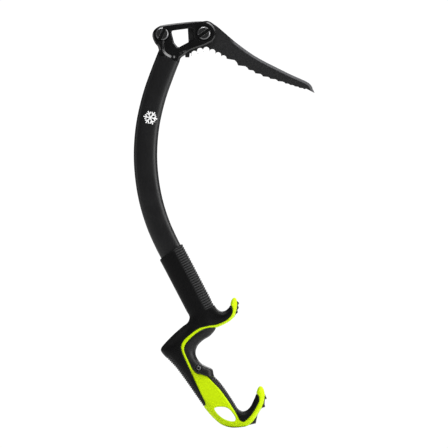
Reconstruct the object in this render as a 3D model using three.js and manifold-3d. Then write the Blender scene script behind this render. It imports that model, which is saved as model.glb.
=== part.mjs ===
// A technical ice axe: bowed alloy shaft, cast steel head with a bolted toothed pick, and an offset
// moulded handle with an upper and a lower pommel. Millimetres, +Z up.
//
// Frame: the axe stands upright in the XZ plane. +X is the side that the pick points to, Y is the
// thickness, the plane Y = 0 halves the axe, and the origin is under its middle at its lowest point.
// A profile point is [x, z]. Profiles become plates across Y, or lofts between front and rear edges.

import * as THREE from 'three';
import { mergeVertices } from 'three/addons/utils/BufferGeometryUtils.js';
import Module from 'manifold-3d';

const wasm = await Module();
wasm.setup();

// ---------------------------------------------------------------- driving dimensions
const GAP = 0.3;                 // clearance between two pieces that sit against each other
const FAR = 60;                  // reach of a cutting solid past anything that it cuts

const SHAFT_WIDTH = 29;          // across the shaft in the XZ plane
const SHAFT_DEPTH = 20;          // across the shaft along Y
const SHAFT_WALL = 2;
const SHAFT_POWER = 2.6;         // superellipse power of the tube's section
const HEAD_SPIGOT_LENGTH = 26;   // how far the head reaches into the tube
const HEAD_SPIGOT_ROOT = 10;     // how far its spigot is sunk in the casting
const FRAME_SPIGOT_LENGTH = 44;  // how far the handle frame reaches into the tube
const FRAME_NECK_LENGTH = 16;    // neck below the tube's end, where the spigot joins the web

const SLEEVE_WIDTH = 33.8;
const SLEEVE_DEPTH = 24.8;
const SLEEVE_LENGTH = 78;        // along the tube, before its top is cut on the slant
const SLEEVE_LAP = 9.55;         // how far the sleeve runs on past the tube's lower end

const CHEEK_DEPTH = 14;          // over both cheeks of the head
const CHEEK_CHAMFER = 1.4;
const COLLAR_DEPTH = 20;
const COLLAR_CHAMFER = 2.8;      // brings the collar's edge down to just above the cheeks
const COLLAR_LAP = 8;            // how far the collar's outline runs on before it is cut at the tube
const PICK_DEPTH = 4;
const PICK_BEVEL_WIDTH = 2.8;    // ground bevel along the pick's back
const PICK_EDGE_DEPTH = 2;       // what the two bevels leave of the back edge
const PICK_BEVEL_SPAN = [4, 108];                        // X range of the ground stretch

const HANDLE_POWER = 2.7;        // superellipse power of the handle's sections
const WEB_DEPTH = 10;            // hidden web of the handle frame

const HEAD_BOLT = { radius: 4, head: 8.2, headDepth: 2.6, washer: 7.9, washerDepth: 0.8, slot: 3.4 };
const HEAD_NUT = { flange: 8.2, flangeDepth: 2.4, sleeve: 5.8, sleeveDepth: 2.6 };
const HEAD_SEAT = { radius: 8.7, depth: 2 };             // counterbore in each cheek
const PICK_BOLT_AT = [-25, 485];
const REAR_BOLT_AT = [-76.5, 484];
const PICK_BOLT_SLOT_ANGLE = 34;                         // degrees above the X axis
const REAR_BOLT_SLOT_ANGLE = 65;

const SPACER_SCREW_AT = [-31.5, 73];
const SPACER_SCREW = { radius: 2, head: 3.1, headDepth: 2.4, washer: 3.6, washerDepth: 0.6 };
const SPACER_SEAT = { radius: 4.3, floor: 8.5 };         // counterbore floor, distance from Y = 0
const SPACER_NUT = { acrossFlats: 7, depth: 3 };

const TOOTH_PLATE_DEPTH = 2.5;
const SPIKE_PLATE_DEPTH = 3;
const PLATE_PIN_RADIUS = 1.5;
const UPPER_PIN_AT = [3.6, 138.6];
const LOWER_PIN_AT = [28.4, 17.2];
const UPPER_PIN_LENGTH = 23;
const LOWER_PIN_LENGTH = 21;
const PIN_LUG_RADIUS = 3.4;      // of the web around a pin
const UPPER_LUG_ROOT = [8, 133];
const LOWER_LUG_ROOT = [33, 9];
const RIVET_RADIUS = 2.5;
const RIVET_UP_SHAFT = 18;       // distance of the rivet above the tube's lower end

const ROUND_SIDES = 28;          // sides of the larger round pieces
const SMALL_SIDES = 18;

// ---------------------------------------------------------------- profiles, [x, z] in mm
// Middle line of the tube, from the head down to its end inside the handle.
const SHAFT_LINE = [
  [-68.4, 455], [-75.7, 436.5], [-86, 407], [-94, 372], [-96.8, 338], [-95.2, 308],
  [-90.2, 279], [-82, 252], [-72.5, 229.9], [-54.5, 195.3], [-36.5, 160.7],
];

const SLEEVE_TOP_EDGE = [[-90, 198.9], [-40, 234.2]];

// Paired edges of the handle: front x, z, rear x, z and full thickness at each station.
const HANDLE_STATIONS = [
  [-16.94, 159.72, -46.92, 144.12, 24.8], [-13, 150, -42.7, 135.5, 25], [-10, 136, -45, 129, 25.5],
  [-10, 122.5, -51, 124.3, 26.5], [-17, 113, -62, 114.7, 28.5], [-25.5, 107.5, -72.5, 104, 29.5],
  [-32, 101.3, -77.3, 98, 30], [-34.8, 95, -78, 94.5, 30], [-35, 90, -75.5, 90.5, 30],
  [-32.5, 84, -68.5, 83, 29.5], [-28, 78.7, -60, 74, 29], [-21, 75, -51.5, 62.8, 28],
  [-14.5, 71.5, -45, 53.8, 27], [-12.5, 64, -38, 43.7, 26], [-6, 57, -31, 33.7, 25],
  [0.5, 48.5, -23.5, 23.5, 24], [7, 39, -14, 12.5, 24], [12.5, 30.5, -3.5, 3.8, 24],
  [16.5, 24, 7, 0.2, 24], [20, 21, 18, 0.1, 24], [23.5, 20, 28.5, 2, 24],
  [27.5, 21.2, 35, 7.3, 24], [32, 25.4, 40, 14.3, 23.5], [35.5, 32, 45, 22.7, 22.5],
  [38.5, 39, 48.7, 32, 21], [40.3, 45, 49.7, 41, 18], [42, 49.3, 48.3, 47.5, 12], [44, 51.2, 46, 51, 5],
];

// Paired edges of the upper pommel: inner x, z, outer x, z and full thickness.
const POMMEL_STATIONS = [
  [-22, 158, -18, 119, 20], [-13.5, 152.5, -10, 122.5, 24], [-9, 146, -4, 125, 25.5],
  [-5, 143, 2.5, 128.2, 26], [-1, 142.6, 8, 131.8, 26], [3, 144.8, 12.5, 136.8, 26],
  [6, 147.8, 14.6, 143.3, 25], [7.8, 152, 15.8, 150, 21], [9, 156.5, 15.4, 155.8, 15],
  [11.5, 160, 14.8, 159.3, 6],
];

// Parting lines on the handle's sides, each from the upper pommel downwards.
const PALM_PARTING = [
  [7.5, 150.5], [9.6, 148], [10.5, 144.5], [9.5, 139.5], [3.5, 132.5], [-9, 126.8], [-20, 124.7],
  [-30.6, 122], [-41.4, 114.7], [-50.2, 106.4], [-52.9, 99.8], [-52, 93.5], [-46.2, 79.5],
  [-37.6, 60.3],
  [-29.2, 42.3], [-23.6, 30.6], [-23.4, 27.8], [-25.5, 26],
];
const SPACER_PARTING = [
  [-10, 122.5], [-15, 123], [-26.5, 120.4], [-38.4, 112.4], [-47.4, 102.5], [-49.4, 96.4],
  [-48.2, 91.5], [-42.7, 79.2], [-38.6, 71.3], [-33.5, 66.5], [-28.5, 65.3], [-20.8, 63],
];
const STRIP_PARTING = [
  [-20.8, 63], [-13.8, 55.8], [-4.6, 46], [7.7, 28.8], [17, 13.4], [19.6, 8.9], [23.5, 7],
  [31.7, 13.7], [41, 27.9], [43.1, 33.7], [42.6, 38], [39.5, 41.6],
];
const SPACER_STRIP_LINE = [[-20.8, 63], [-18, 62.1], [-12, 62.9]];

const FRAME_WEB = [
  [-43, 156], [-25, 163], [-17, 150], [-8, 140], [-2, 136], [-8, 124], [-22, 117], [-33, 110],
  [-39.5, 103], [-41.5, 96], [-41, 89], [-38, 82], [-34, 77.6], [-29, 77], [-27.3, 73.5],
  [-27.3, 66], [-26, 62], [-34, 57], [-38, 60], [-44, 66.5], [-53, 77], [-62, 87], [-67, 95],
  [-64, 102], [-52, 115], [-40, 126], [-36, 135],
];
const EYE = [
  [-12, 23], [-10, 24.7], [0, 25], [4.5, 23.5], [8.5, 20], [13.9, 11.3], [13.3, 8.3], [10, 7.5],
  [1, 10], [-7, 15.6],
];

const HEAD_TOP = [[-80.4, 464.2], [-81.4, 467.9], [-85.2, 472.8], [-88.4, 481.5], [-86.5, 488.3],
  [-79, 493.8], [-66.7, 496.2], [-42, 498.9], [-29, 499.5]];
const HEAD_BELLY = [[-16.2, 474.1], [-23.6, 470.4], [-35.9, 466.1], [-42, 463.6], [-49.4, 458.1],
  [-53, 454.6]];
const FRONT_LOBE_RADIUS = 14.4;
const HEAD_WINDOW = [[-65.2, 487.8], [-38.6, 491.3], [-37.1, 477.6], [-56.5, 467.2], [-61.5, 473.2]];
const HEAD_ROOT = [[-60, 446], [-82, 456]];              // inside the collar, past the tube's end
const COLLAR_RAMP = [[-73.6, 477], [-73.2, 465], [-72.2, 462.3], [-67.9, 458.7], [-61.7, 457.1],
  [-54.4, 461.7], [-46, 464.5]];
const COLLAR_FRONT = [[-53.8, 454.3], [-48.2, 458]];
const COLLAR_REAR = [[-79.5, 478], [-83.8, 471.6], [-81.6, 468.4], [-80.4, 464.2]];
const PICK_SLOT = [[-45.4, 510], [-45.4, 477], [-44.6, 470.6], [-48.7, 466.4], [-48.2, 450],
  [30, 450], [30, 510]];
const REAR_SLOT = [[-100, 467.9], [-69.5, 467.9], [-69.5, 510], [-100, 510]];

const PICK_BACK = [[-45, 493.5], [-30, 498.3], [-20.5, 500], [-11.3, 495.1], [13.3, 474.5],
  [31.7, 460.9], [44, 453.3], [80.9, 434.6], [103.2, 424.2], [107.2, 420.4], [109.4, 415.4],
  [111.4, 411.1]];
const PICK_FINE_TIPS = [[100.6, 416.7], [98, 416], [92.4, 417.6], [86.6, 419.4], [80.8, 421.2],
  [75, 423]];
const PICK_COARSE_TIPS = [[75, 423], [65.9, 425.8], [56.7, 428.7], [47.5, 431.6], [38.1, 435.5],
  [29.9, 439.8], [17, 445.2], [2.8, 453.4]];
const SCALLOP_CENTRES = [[-0.9, 453.8], [-7.6, 457.7], [-14.6, 461.4], [-22, 464.2], [-29.6, 462.9],
  [-36.5, 459.4]];
const SCALLOP_RADIUS = 3.85;
const PICK_CUSPS = [[-4.6, 455], [-10.9, 459.2], [-18.5, 462], [-25.7, 461.7], [-32.7, 459.2]];
const PICK_TANG = [[-40.4, 456.8], [-40.8, 460.3], [-42.3, 460.3], [-42.9, 455.1], [-47.9, 455.1],
  [-48.3, 466], [-44, 470], [-44, 476]];

const TOOTH_PLATE = [
  [15, 156], [16.4, 155.2], [18.6, 153], [17, 150.2], [18.2, 147.2], [16.4, 144.6], [17, 141.3],
  [14.2, 138.9], [12.4, 135.6], [8.6, 133.6], [4.2, 135.4], [1.4, 137.6], [1.8, 140.6], [4.6, 141.4],
  [9, 141], [12, 144.5], [13, 150],
];
const SPIKE_PLATE = [
  [48.6, 44.5], [52.8, 35], [50.2, 34.6], [49.8, 29], [50.6, 25.2], [46, 23.6], [41.2, 15.5],
  [38.9, 4.8], [31.5, 3.2], [20, 0.3], [22, 4.2], [27, 8], [28, 13], [26.2, 16], [26.6, 19],
  [29.6, 19.6], [31.4, 17.4], [35, 16.5], [42.4, 28.4], [45, 36], [46, 43.5],
];

// ---------------------------------------------------------------- profile helpers
const vector = ([x, z]) => new THREE.Vector2(x, z);
const toRadians = (degrees) => degrees * Math.PI / 180;

/** Leaves out the points of a dense line that lie within the tolerance of the line without them. */
function simplified(points, tolerance = 0.06) {
  if (points.length < 3) return points;
  const first = points[0];
  const last = points[points.length - 1];
  const along = last.clone().sub(first);
  const length = along.length();
  let worst = 0;
  let split = 0;
  points.forEach((point, i) => {
    const to = point.clone().sub(first);
    const distance = length > 1e-6 ? Math.abs(along.cross(to)) / length : to.length();
    if (distance > worst) {
      worst = distance;
      split = i;
    }
  });
  if (worst <= tolerance) return [first, last];
  return [
    ...simplified(points.slice(0, split + 1), tolerance).slice(0, -1),
    ...simplified(points.slice(split), tolerance),
  ];
}

/** A smooth line through the given points. */
function smooth(points, closed = false) {
  const spline = new THREE.CatmullRomCurve3(
    points.map(([x, z]) => new THREE.Vector3(x, 0, z)), closed, 'centripetal');
  const dense = spline.getPoints(points.length * 12).map((p) => new THREE.Vector2(p.x, p.z));
  if (!closed) return simplified(dense);
  const half = Math.floor(dense.length / 2);
  return [...simplified(dense.slice(0, half + 1)).slice(0, -1), ...simplified(dense.slice(half)).slice(0, -1)];
}

/** A round stretch about a centre, between two angles in degrees. */
function arc([x, z], radius, from, to, steps = 8) {
  return Array.from({ length: steps + 1 }, (_, i) => {
    const angle = toRadians(from + (to - from) * i / steps);
    return new THREE.Vector2(x + radius * Math.cos(angle), z + radius * Math.sin(angle));
  });
}

/** The same line moved sideways: to its left for a positive distance, seen along its direction. */
function shifted(points, distance, closed = false) {
  const count = points.length;
  return points.map((point, i) => {
    const before = points[closed ? (i + count - 1) % count : Math.max(i - 1, 0)];
    const after = points[closed ? (i + 1) % count : Math.min(i + 1, count - 1)];
    const incoming = point.clone().sub(before).normalize();
    const outgoing = after.clone().sub(point).normalize();
    const normal = incoming.add(outgoing).normalize();
    return new THREE.Vector2(point.x - normal.y * distance, point.y + normal.x * distance);
  });
}

/** A closed outline grown outwards on every side. */
function grown(points, distance) {
  const sign = THREE.ShapeUtils.area(points) > 0 ? -1 : 1;
  return shifted(points, sign * distance, true);
}

// ---------------------------------------------------------------- solid helpers
function solidFrom(positions, triangles) {
  return new wasm.Manifold(new wasm.Mesh({
    numProp: 3,
    vertProperties: new Float32Array(positions),
    triVerts: new Uint32Array(triangles),
  }));
}

function solid(geometry) {
  const bare = geometry.clone();
  bare.deleteAttribute('normal');
  bare.deleteAttribute('uv');
  const welded = mergeVertices(bare, 1e-4);
  return solidFrom(welded.attributes.position.array, welded.index.array);
}

/** A profile extruded across Y and centred on Y = 0. */
function plate(outline, depth) {
  const geometry = new THREE.ExtrudeGeometry(new THREE.Shape(outline), { depth, bevelEnabled: false });
  geometry.translate(0, 0, -depth / 2);
  geometry.rotateX(Math.PI / 2);
  return solid(geometry);
}

/** The same with a chamfer along the edges of both faces. */
function chamferedPlate(profile, depth, chamfer) {
  const outline = THREE.ShapeUtils.isClockWise(profile) ? [...profile].reverse() : profile;
  const inset = grown(outline, -chamfer);
  const level = (points, y) => points.map((p) => new THREE.Vector3(p.x, y, p.y));
  const face = depth / 2;
  const rings = [
    level(inset, -face), level(outline, chamfer - face), level(outline, face - chamfer), level(inset, face),
  ];
  return loft(rings, { cap: THREE.ShapeUtils.triangulateShape(outline, []) });
}

/** A round bar across Y at [x, z], from one Y to another. */
function bar([x, z], radius, fromY, toY, sides = ROUND_SIDES) {
  const geometry = new THREE.CylinderGeometry(radius, radius, toY - fromY, sides);
  geometry.translate(x, (fromY + toY) / 2, z);
  return solid(geometry);
}

/** A turned piece about the Y direction through [x, z]; its profile is [radius, y] from axis to axis. */
function turned([x, z], profile, sides = ROUND_SIDES) {
  const geometry = new THREE.LatheGeometry(profile.map(([r, y]) => new THREE.Vector2(r, y)), sides);
  geometry.translate(x, 0, z);
  const result = solid(geometry);
  return result.volume() < 0 ? solid(geometry.scale(1, 1, -1)) : result;
}

/**
 * A closed skin over equal rings of points, joined end to end into a tube, or with flat ends whose
 * triangles are fans or are given as a cap.
 */
function loft(rings, { joined = false, cap = null } = {}) {
  const sides = rings[0].length;
  const positions = rings.flat().flatMap((p) => [p.x, p.y, p.z]);
  const triangles = [];
  const spans = joined ? rings.length : rings.length - 1;
  for (let i = 0; i < spans; i++) {
    const a = i * sides;
    const b = ((i + 1) % rings.length) * sides;
    for (let j = 0; j < sides; j++) {
      const k = (j + 1) % sides;
      triangles.push(a + j, b + j, b + k, a + j, b + k, a + k);
    }
  }
  const fan = Array.from({ length: sides - 2 }, (_, j) => [0, j + 1, j + 2]);
  const last = (rings.length - 1) * sides;
  for (const [a, b, c] of joined ? [] : cap ?? fan) {
    triangles.push(a, b, c, last + a, last + c, last + b);
  }
  if (signedVolume(positions, triangles) < 0) triangles.reverse();
  return solidFrom(positions, triangles);
}

function signedVolume(positions, triangles) {
  const corner = (i) => new THREE.Vector3().fromArray(positions, 3 * i);
  let volume = 0;
  for (let i = 0; i < triangles.length; i += 3) {
    const [a, b, c] = [corner(triangles[i]), corner(triangles[i + 1]), corner(triangles[i + 2])];
    volume += a.dot(b.cross(c)) / 6;
  }
  return volume;
}

/** A superellipse ring spanning two edge points, with its thickness along Y. */
function ring(edgeA, edgeB, depth, power, sides) {
  const middle = edgeA.clone().add(edgeB).multiplyScalar(0.5);
  const half = edgeB.clone().sub(edgeA).multiplyScalar(0.5);
  const bent = (value) => Math.sign(value) * Math.abs(value) ** (2 / power);
  return Array.from({ length: sides }, (_, i) => {
    const angle = 2 * Math.PI * (i + 0.5) / sides;
    const across = bent(Math.cos(angle));
    const out = bent(Math.sin(angle));
    return new THREE.Vector3(middle.x + half.x * across, out * depth / 2, middle.y + half.y * across);
  });
}

/** Rings along paired edges, given as stations of edge A x, z, edge B x, z and thickness. */
function stationRings(stations, perSpan, sides) {
  const spline = (pick) => new THREE.CatmullRomCurve3(stations.map(pick), false, 'centripetal');
  const edgeA = spline(([ax, az]) => new THREE.Vector3(ax, 0, az));
  const edgeB = spline(([, , bx, bz]) => new THREE.Vector3(bx, 0, bz));
  const steps = (stations.length - 1) * perSpan;
  return Array.from({ length: steps + 1 }, (_, i) => {
    const place = i / perSpan;
    const before = Math.min(Math.floor(place), stations.length - 2);
    const depth = THREE.MathUtils.lerp(stations[before][4], stations[before + 1][4], place - before);
    const a = edgeA.getPoint(i / steps);
    const b = edgeB.getPoint(i / steps);
    return ring(new THREE.Vector2(a.x, a.z), new THREE.Vector2(b.x, b.z), depth, HANDLE_POWER, sides);
  });
}

const shaftLine = new THREE.CatmullRomCurve3(
  SHAFT_LINE.map(([x, z]) => new THREE.Vector3(x, 0, z)), false, 'centripetal');
shaftLine.arcLengthDivisions = 400;
const SHAFT_LENGTH = shaftLine.getLength();

/** The tube's middle point and its in-plane sideways direction, at a distance down the tube. */
function shaftPlace(distance) {
  const t = THREE.MathUtils.clamp(distance / SHAFT_LENGTH, 0, 1);
  const point = shaftLine.getPointAt(t);
  const along = shaftLine.getTangentAt(t);
  const past = distance - t * SHAFT_LENGTH;
  return {
    middle: new THREE.Vector2(point.x + along.x * past, point.z + along.z * past),
    side: new THREE.Vector2(-along.z, along.x),
  };
}

/** Rings of one section between two distances down the tube. */
function shaftRings(from, to, count, width, depth, sides = 20) {
  return Array.from({ length: count }, (_, i) => {
    const { middle, side } = shaftPlace(from + (to - from) * i / (count - 1));
    const reach = side.multiplyScalar(width / 2);
    return ring(middle.clone().add(reach), middle.clone().sub(reach), depth, SHAFT_POWER, sides);
  });
}

// ---------------------------------------------------------------- materials
const finish = (color, roughness, metalness) => new THREE.MeshStandardMaterial({ color, roughness, metalness });
const shaftBlack = finish('#26272a', 0.5, 0.6);
const castBlack = finish('#17181a', 0.28, 0.7);
const pickGrey = finish('#37383b', 0.6, 0.7);
const boltBlack = finish('#1f2022', 0.3, 0.8);
const bareSteel = finish('#6f7276', 0.4, 0.9);
const rubberBlack = finish('#222224', 0.85, 0);
const spacerBlack = finish('#2b2b2e', 0.5, 0);
const frameLime = finish('#cdf20a', 0.5, 0);
const spikeBlack = finish('#2a2a2c', 0.45, 0.8);

// ---------------------------------------------------------------- shaft and sleeve
const SLEEVE_END = SHAFT_LENGTH + SLEEVE_LAP;            // where the sleeve meets the palm grip
const rivetPlace = shaftPlace(SHAFT_LENGTH - RIVET_UP_SHAFT).middle;
const rivetAt = [rivetPlace.x, rivetPlace.y];

function shaft() {
  const count = 21;
  const bore = 2 * SHAFT_WALL;
  const outer = shaftRings(0, SHAFT_LENGTH, count, SHAFT_WIDTH, SHAFT_DEPTH);
  const inner = shaftRings(0, SHAFT_LENGTH, count, SHAFT_WIDTH - bore, SHAFT_DEPTH - bore);
  const rivetHole = bar(rivetAt, RIVET_RADIUS + GAP, -FAR, FAR, SMALL_SIDES);
  return loft([...outer, ...inner.reverse()], { joined: true }).subtract(rivetHole);
}

function upperGripSleeve() {
  const start = SLEEVE_END - SLEEVE_LENGTH;
  const bore = 2 * GAP;
  const outer = shaftRings(start, SLEEVE_END, 4, SLEEVE_WIDTH, SLEEVE_DEPTH);
  const inner = shaftRings(start, SLEEVE_END, 4, SHAFT_WIDTH + bore, SHAFT_DEPTH + bore);
  const aboveTop = plate([...SLEEVE_TOP_EDGE, [-40, 300], [-130, 300]].map(vector), FAR);
  return loft([...outer, ...inner.reverse()], { joined: true }).subtract(aboveTop);
}

function spigot(from, to, count) {
  const play = 2 * (SHAFT_WALL + GAP);
  return loft(shaftRings(from, to, count, SHAFT_WIDTH - play, SHAFT_DEPTH - play, 20));
}

function frameRivet() {
  const reach = SHAFT_DEPTH / 2 - 0.1;
  return bar(rivetAt, RIVET_RADIUS, -reach, reach, SMALL_SIDES);
}

// ---------------------------------------------------------------- head
const pickBack = smooth(PICK_BACK);

/** Everything on one side of the plane that the tube's upper end stops at. */
function belowCollar() {
  const { middle, side } = shaftPlace(-GAP);
  const down = new THREE.Vector2(side.y, -side.x);
  const corner = (across, along) => middle.clone()
    .add(side.clone().multiplyScalar(across)).add(down.clone().multiplyScalar(along));
  return plate([corner(-FAR, 0), corner(FAR, 0), corner(FAR, FAR), corner(-FAR, FAR)], FAR);
}

function headProfile() {
  const lobe = arc(PICK_BOLT_AT, FRONT_LOBE_RADIUS, 92, -48, 16);
  return [...smooth(HEAD_TOP), ...lobe, ...smooth(HEAD_BELLY), ...HEAD_ROOT.map(vector)];
}

function collar() {
  const { middle, side } = shaftPlace(0);
  const { middle: lower } = shaftPlace(COLLAR_LAP);
  const reach = side.clone().multiplyScalar(SHAFT_WIDTH / 2);
  const outline = [
    lower.clone().add(reach), middle.clone().add(reach), ...COLLAR_FRONT.map(vector),
    ...COLLAR_RAMP.map(vector).reverse(), ...COLLAR_REAR.map(vector), lower.clone().sub(reach),
  ];
  return chamferedPlate(outline, COLLAR_DEPTH, COLLAR_CHAMFER);
}

function boltSeats(at) {
  const face = CHEEK_DEPTH / 2;
  const seat = (sign) => bar(at, HEAD_SEAT.radius, ...[sign * (face - HEAD_SEAT.depth), sign * FAR]
    .sort((a, b) => a - b));
  const nutHole = bar(at, HEAD_NUT.sleeve + GAP, 0, FAR);
  return seat(-1).add(seat(1)).add(nutHole).add(bar(at, HEAD_BOLT.radius + GAP, -FAR, FAR));
}

/** Teeth that rake back towards the handle: each tip, then a rounded step up to the next run. */
function teeth(tips) {
  const between = ([ax, az], [bx, bz], across, up) => new THREE.Vector2(
    THREE.MathUtils.lerp(ax, bx, across), THREE.MathUtils.lerp(az, bz, up));
  return tips.slice(1).flatMap((tip, i) => [
    between(tips[i], tip, 0.1, 0.45), between(tips[i], tip, 0.3, 0.8), vector(tip),
  ]);
}

function pickProfile() {
  return [
    ...pickBack, vector(PICK_FINE_TIPS[0]), ...teeth(PICK_FINE_TIPS), ...teeth(PICK_COARSE_TIPS),
    ...PICK_CUSPS.map(vector), ...PICK_TANG.map(vector),
  ];
}

/** The wedge that grinds one side of the pick's back edge away, on the side that the sign names. */
function backBevel(sign) {
  const rise = (PICK_DEPTH - PICK_EDGE_DEPTH) / 2 / PICK_BEVEL_WIDTH;
  const past = 0.8;
  const [from, to] = PICK_BEVEL_SPAN;
  const stretch = simplified(pickBack.filter((p) => p.x > from && p.x < to), 0.2);
  const inner = shifted(stretch, -(PICK_BEVEL_WIDTH + past));
  const outer = shifted(stretch, past);
  const half = (distance) => PICK_EDGE_DEPTH / 2 + distance * rise;
  const high = PICK_DEPTH / 2 + rise * past;
  return loft(stretch.map((_, i) => [
    new THREE.Vector3(outer[i].x, sign * half(-past), outer[i].y),
    new THREE.Vector3(outer[i].x, sign * high, outer[i].y),
    new THREE.Vector3(inner[i].x, sign * high, inner[i].y),
  ]));
}

function pick() {
  const scallops = SCALLOP_CENTRES.map((centre) => bar(centre, SCALLOP_RADIUS, -FAR, FAR));
  return plate(pickProfile(), PICK_DEPTH)
    .subtract(scallops.reduce((all, one) => all.add(one)))
    .subtract(bar(PICK_BOLT_AT, HEAD_BOLT.radius + GAP, -FAR, FAR))
    .subtract(backBevel(1))
    .subtract(backBevel(-1));
}

/** A slot between the cheeks, with clearance on both faces of what it takes. */
const cheekSlot = (outline) => plate(outline.map(vector), PICK_DEPTH + 2 * GAP);

function rearSpacer() {
  const margin = 0.4;
  const right = Math.max(...REAR_SLOT.map(([x]) => x)) - margin;
  const bottom = Math.min(...REAR_SLOT.map(([, z]) => z)) + margin;
  const lobe = shifted(smooth(HEAD_TOP.slice(1, 7)), -margin);
  const inner = lobe.filter((p) => p.x < right && p.y > bottom);
  const outline = [vector([right, bottom]), ...inner, vector([right, inner[inner.length - 1].y])];
  return plate(outline, PICK_DEPTH)
    .subtract(bar(REAR_BOLT_AT, HEAD_BOLT.radius + GAP, -FAR, FAR));
}

function headCasting() {
  const body = chamferedPlate(headProfile(), CHEEK_DEPTH, CHEEK_CHAMFER);
  const window = plate(HEAD_WINDOW.map(vector), FAR);
  return body.add(collar())
    .subtract(belowCollar())
    .add(spigot(-HEAD_SPIGOT_ROOT, HEAD_SPIGOT_LENGTH, 6))
    .subtract(window)
    .subtract(cheekSlot(PICK_SLOT))
    .subtract(cheekSlot(REAR_SLOT))
    .subtract(boltSeats(PICK_BOLT_AT))
    .subtract(boltSeats(REAR_BOLT_AT));
}

// ---------------------------------------------------------------- head fasteners
// The camera-side cheek, at -Y, holds the bolt's head and the far cheek holds its nut.
const seatFloor = CHEEK_DEPTH / 2 - HEAD_SEAT.depth;
const washerTop = seatFloor + GAP + HEAD_BOLT.washerDepth;
const headUnder = washerTop + GAP;
const nutFace = seatFloor + GAP + HEAD_NUT.flangeDepth;

function headWasher(at) {
  const { washer, washerDepth, radius } = HEAD_BOLT;
  return bar(at, washer, -washerTop, -washerTop + washerDepth)
    .subtract(bar(at, radius + GAP, -FAR, FAR));
}

function headBolt(at, slotAngle) {
  const { radius, head, headDepth, slot } = HEAD_BOLT;
  const top = headUnder + headDepth;
  const body = turned(at, [
    [0, -top], [head - 0.9, -top], [head, -top + 0.9], [head, -headUnder], [radius, -headUnder],
    [radius, nutFace - 1], [radius - 0.8, nutFace - 0.2], [0, nutFace - 0.2],
  ]);
  const cutter = new THREE.BoxGeometry(3 * head, 2 * 1.7, slot);
  cutter.rotateY(-toRadians(slotAngle));
  cutter.translate(at[0], -top, at[1]);
  return body.subtract(solid(cutter));
}

function headNut(at) {
  const { flange, flangeDepth, sleeve, sleeveDepth } = HEAD_NUT;
  const under = seatFloor + GAP;
  const body = turned(at, [
    [0, under - sleeveDepth], [sleeve, under - sleeveDepth], [sleeve, under], [flange, under],
    [flange, under + flangeDepth - 0.7], [flange - 0.7, under + flangeDepth], [0, under + flangeDepth],
  ]);
  return body.subtract(bar(at, HEAD_BOLT.radius + GAP, -FAR, FAR));
}

// ---------------------------------------------------------------- handle
const handleForm = loft(stationRings(HANDLE_STATIONS, 1, 20))
  .add(loft(stationRings(POMMEL_STATIONS, 1, 20)));
const palmParting = smooth(PALM_PARTING);
const spacerParting = smooth(SPACER_PARTING);
const stripParting = smooth(STRIP_PARTING);
const eye = smooth(EYE, true);

/** A cutter across the whole thickness from one parting line and the points that close it outside. */
const region = (line, ...around) => plate([...line, ...around.map(vector)], 2 * FAR);

const ABOVE_POMMEL = [[2, 156], [-10, 190]];
const BESIDE_POMMEL = [0, 116];
const BESIDE_STRIP = [-4, 66];
const BESIDE_LOWER_TIP = [34, 45];

function palmRegion() {
  return region(shifted(palmParting, -GAP / 2), [-32, 19], [-120, 40], [-120, 190], ABOVE_POMMEL[1],
    ABOVE_POMMEL[0]);
}

function spacerRegion() {
  const line = [...spacerParting, ...SPACER_STRIP_LINE.slice(1).map(vector)];
  return region(shifted(line, GAP / 2), BESIDE_STRIP, [40, 90], [40, 112], BESIDE_POMMEL);
}

function stripRegion() {
  const line = [...SPACER_STRIP_LINE.slice(1).map(vector).reverse(), ...stripParting];
  return region(shifted(line, GAP / 2), BESIDE_LOWER_TIP, [30, 90], BESIDE_STRIP);
}

function frameRegion() {
  const frontLine = [...spacerParting, ...stripParting.slice(1)];
  return region([
    ...shifted(palmParting, GAP / 2), vector([-32, 19]), vector([-32, -20]), vector([90, -20]),
    vector([90, 75]), vector([36, 75]), vector(BESIDE_LOWER_TIP), ...shifted(frontLine, -GAP / 2).reverse(),
  ], BESIDE_POMMEL, [90, 130], [90, 190], ABOVE_POMMEL[1], ABOVE_POMMEL[0]);
}

/** The lug of the frame's web around a plate's pin, reaching back to a second place in the frame. */
function pinLug(pin, root, extra) {
  const radius = PIN_LUG_RADIUS + extra;
  const away = vector(pin).sub(vector(root)).angle() * 180 / Math.PI;
  const outline = [...arc(pin, radius, away - 90, away + 90), ...arc(root, radius, away + 90, away + 270)];
  return plate(outline, WEB_DEPTH + 2 * extra);
}

/** What the frame holds inside the black pieces, grown on every side by an extra clearance. */
function frameCore(extra) {
  const spigotPlay = 2 * (SHAFT_WALL + GAP - extra);
  const neck = loft(shaftRings(SHAFT_LENGTH - 2, SHAFT_LENGTH + FRAME_NECK_LENGTH, 3,
    SHAFT_WIDTH - spigotPlay, SHAFT_DEPTH - spigotPlay, 20));
  return plate(grown(smooth(FRAME_WEB, true), extra), WEB_DEPTH + 2 * extra)
    .add(neck)
    .add(pinLug(UPPER_PIN_AT, UPPER_LUG_ROOT, extra))
    .add(pinLug(LOWER_PIN_AT, LOWER_LUG_ROOT, extra));
}

const platePinHoles = bar(UPPER_PIN_AT, PLATE_PIN_RADIUS + GAP, -FAR, FAR, SMALL_SIDES)
  .add(bar(LOWER_PIN_AT, PLATE_PIN_RADIUS + GAP, -FAR, FAR, SMALL_SIDES));

function plateSlots() {
  return plate(grown(TOOTH_PLATE.map(vector), GAP), TOOTH_PLATE_DEPTH + 2 * GAP)
    .add(plate(grown(SPIKE_PLATE.map(vector), GAP), SPIKE_PLATE_DEPTH + 2 * GAP));
}

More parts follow.
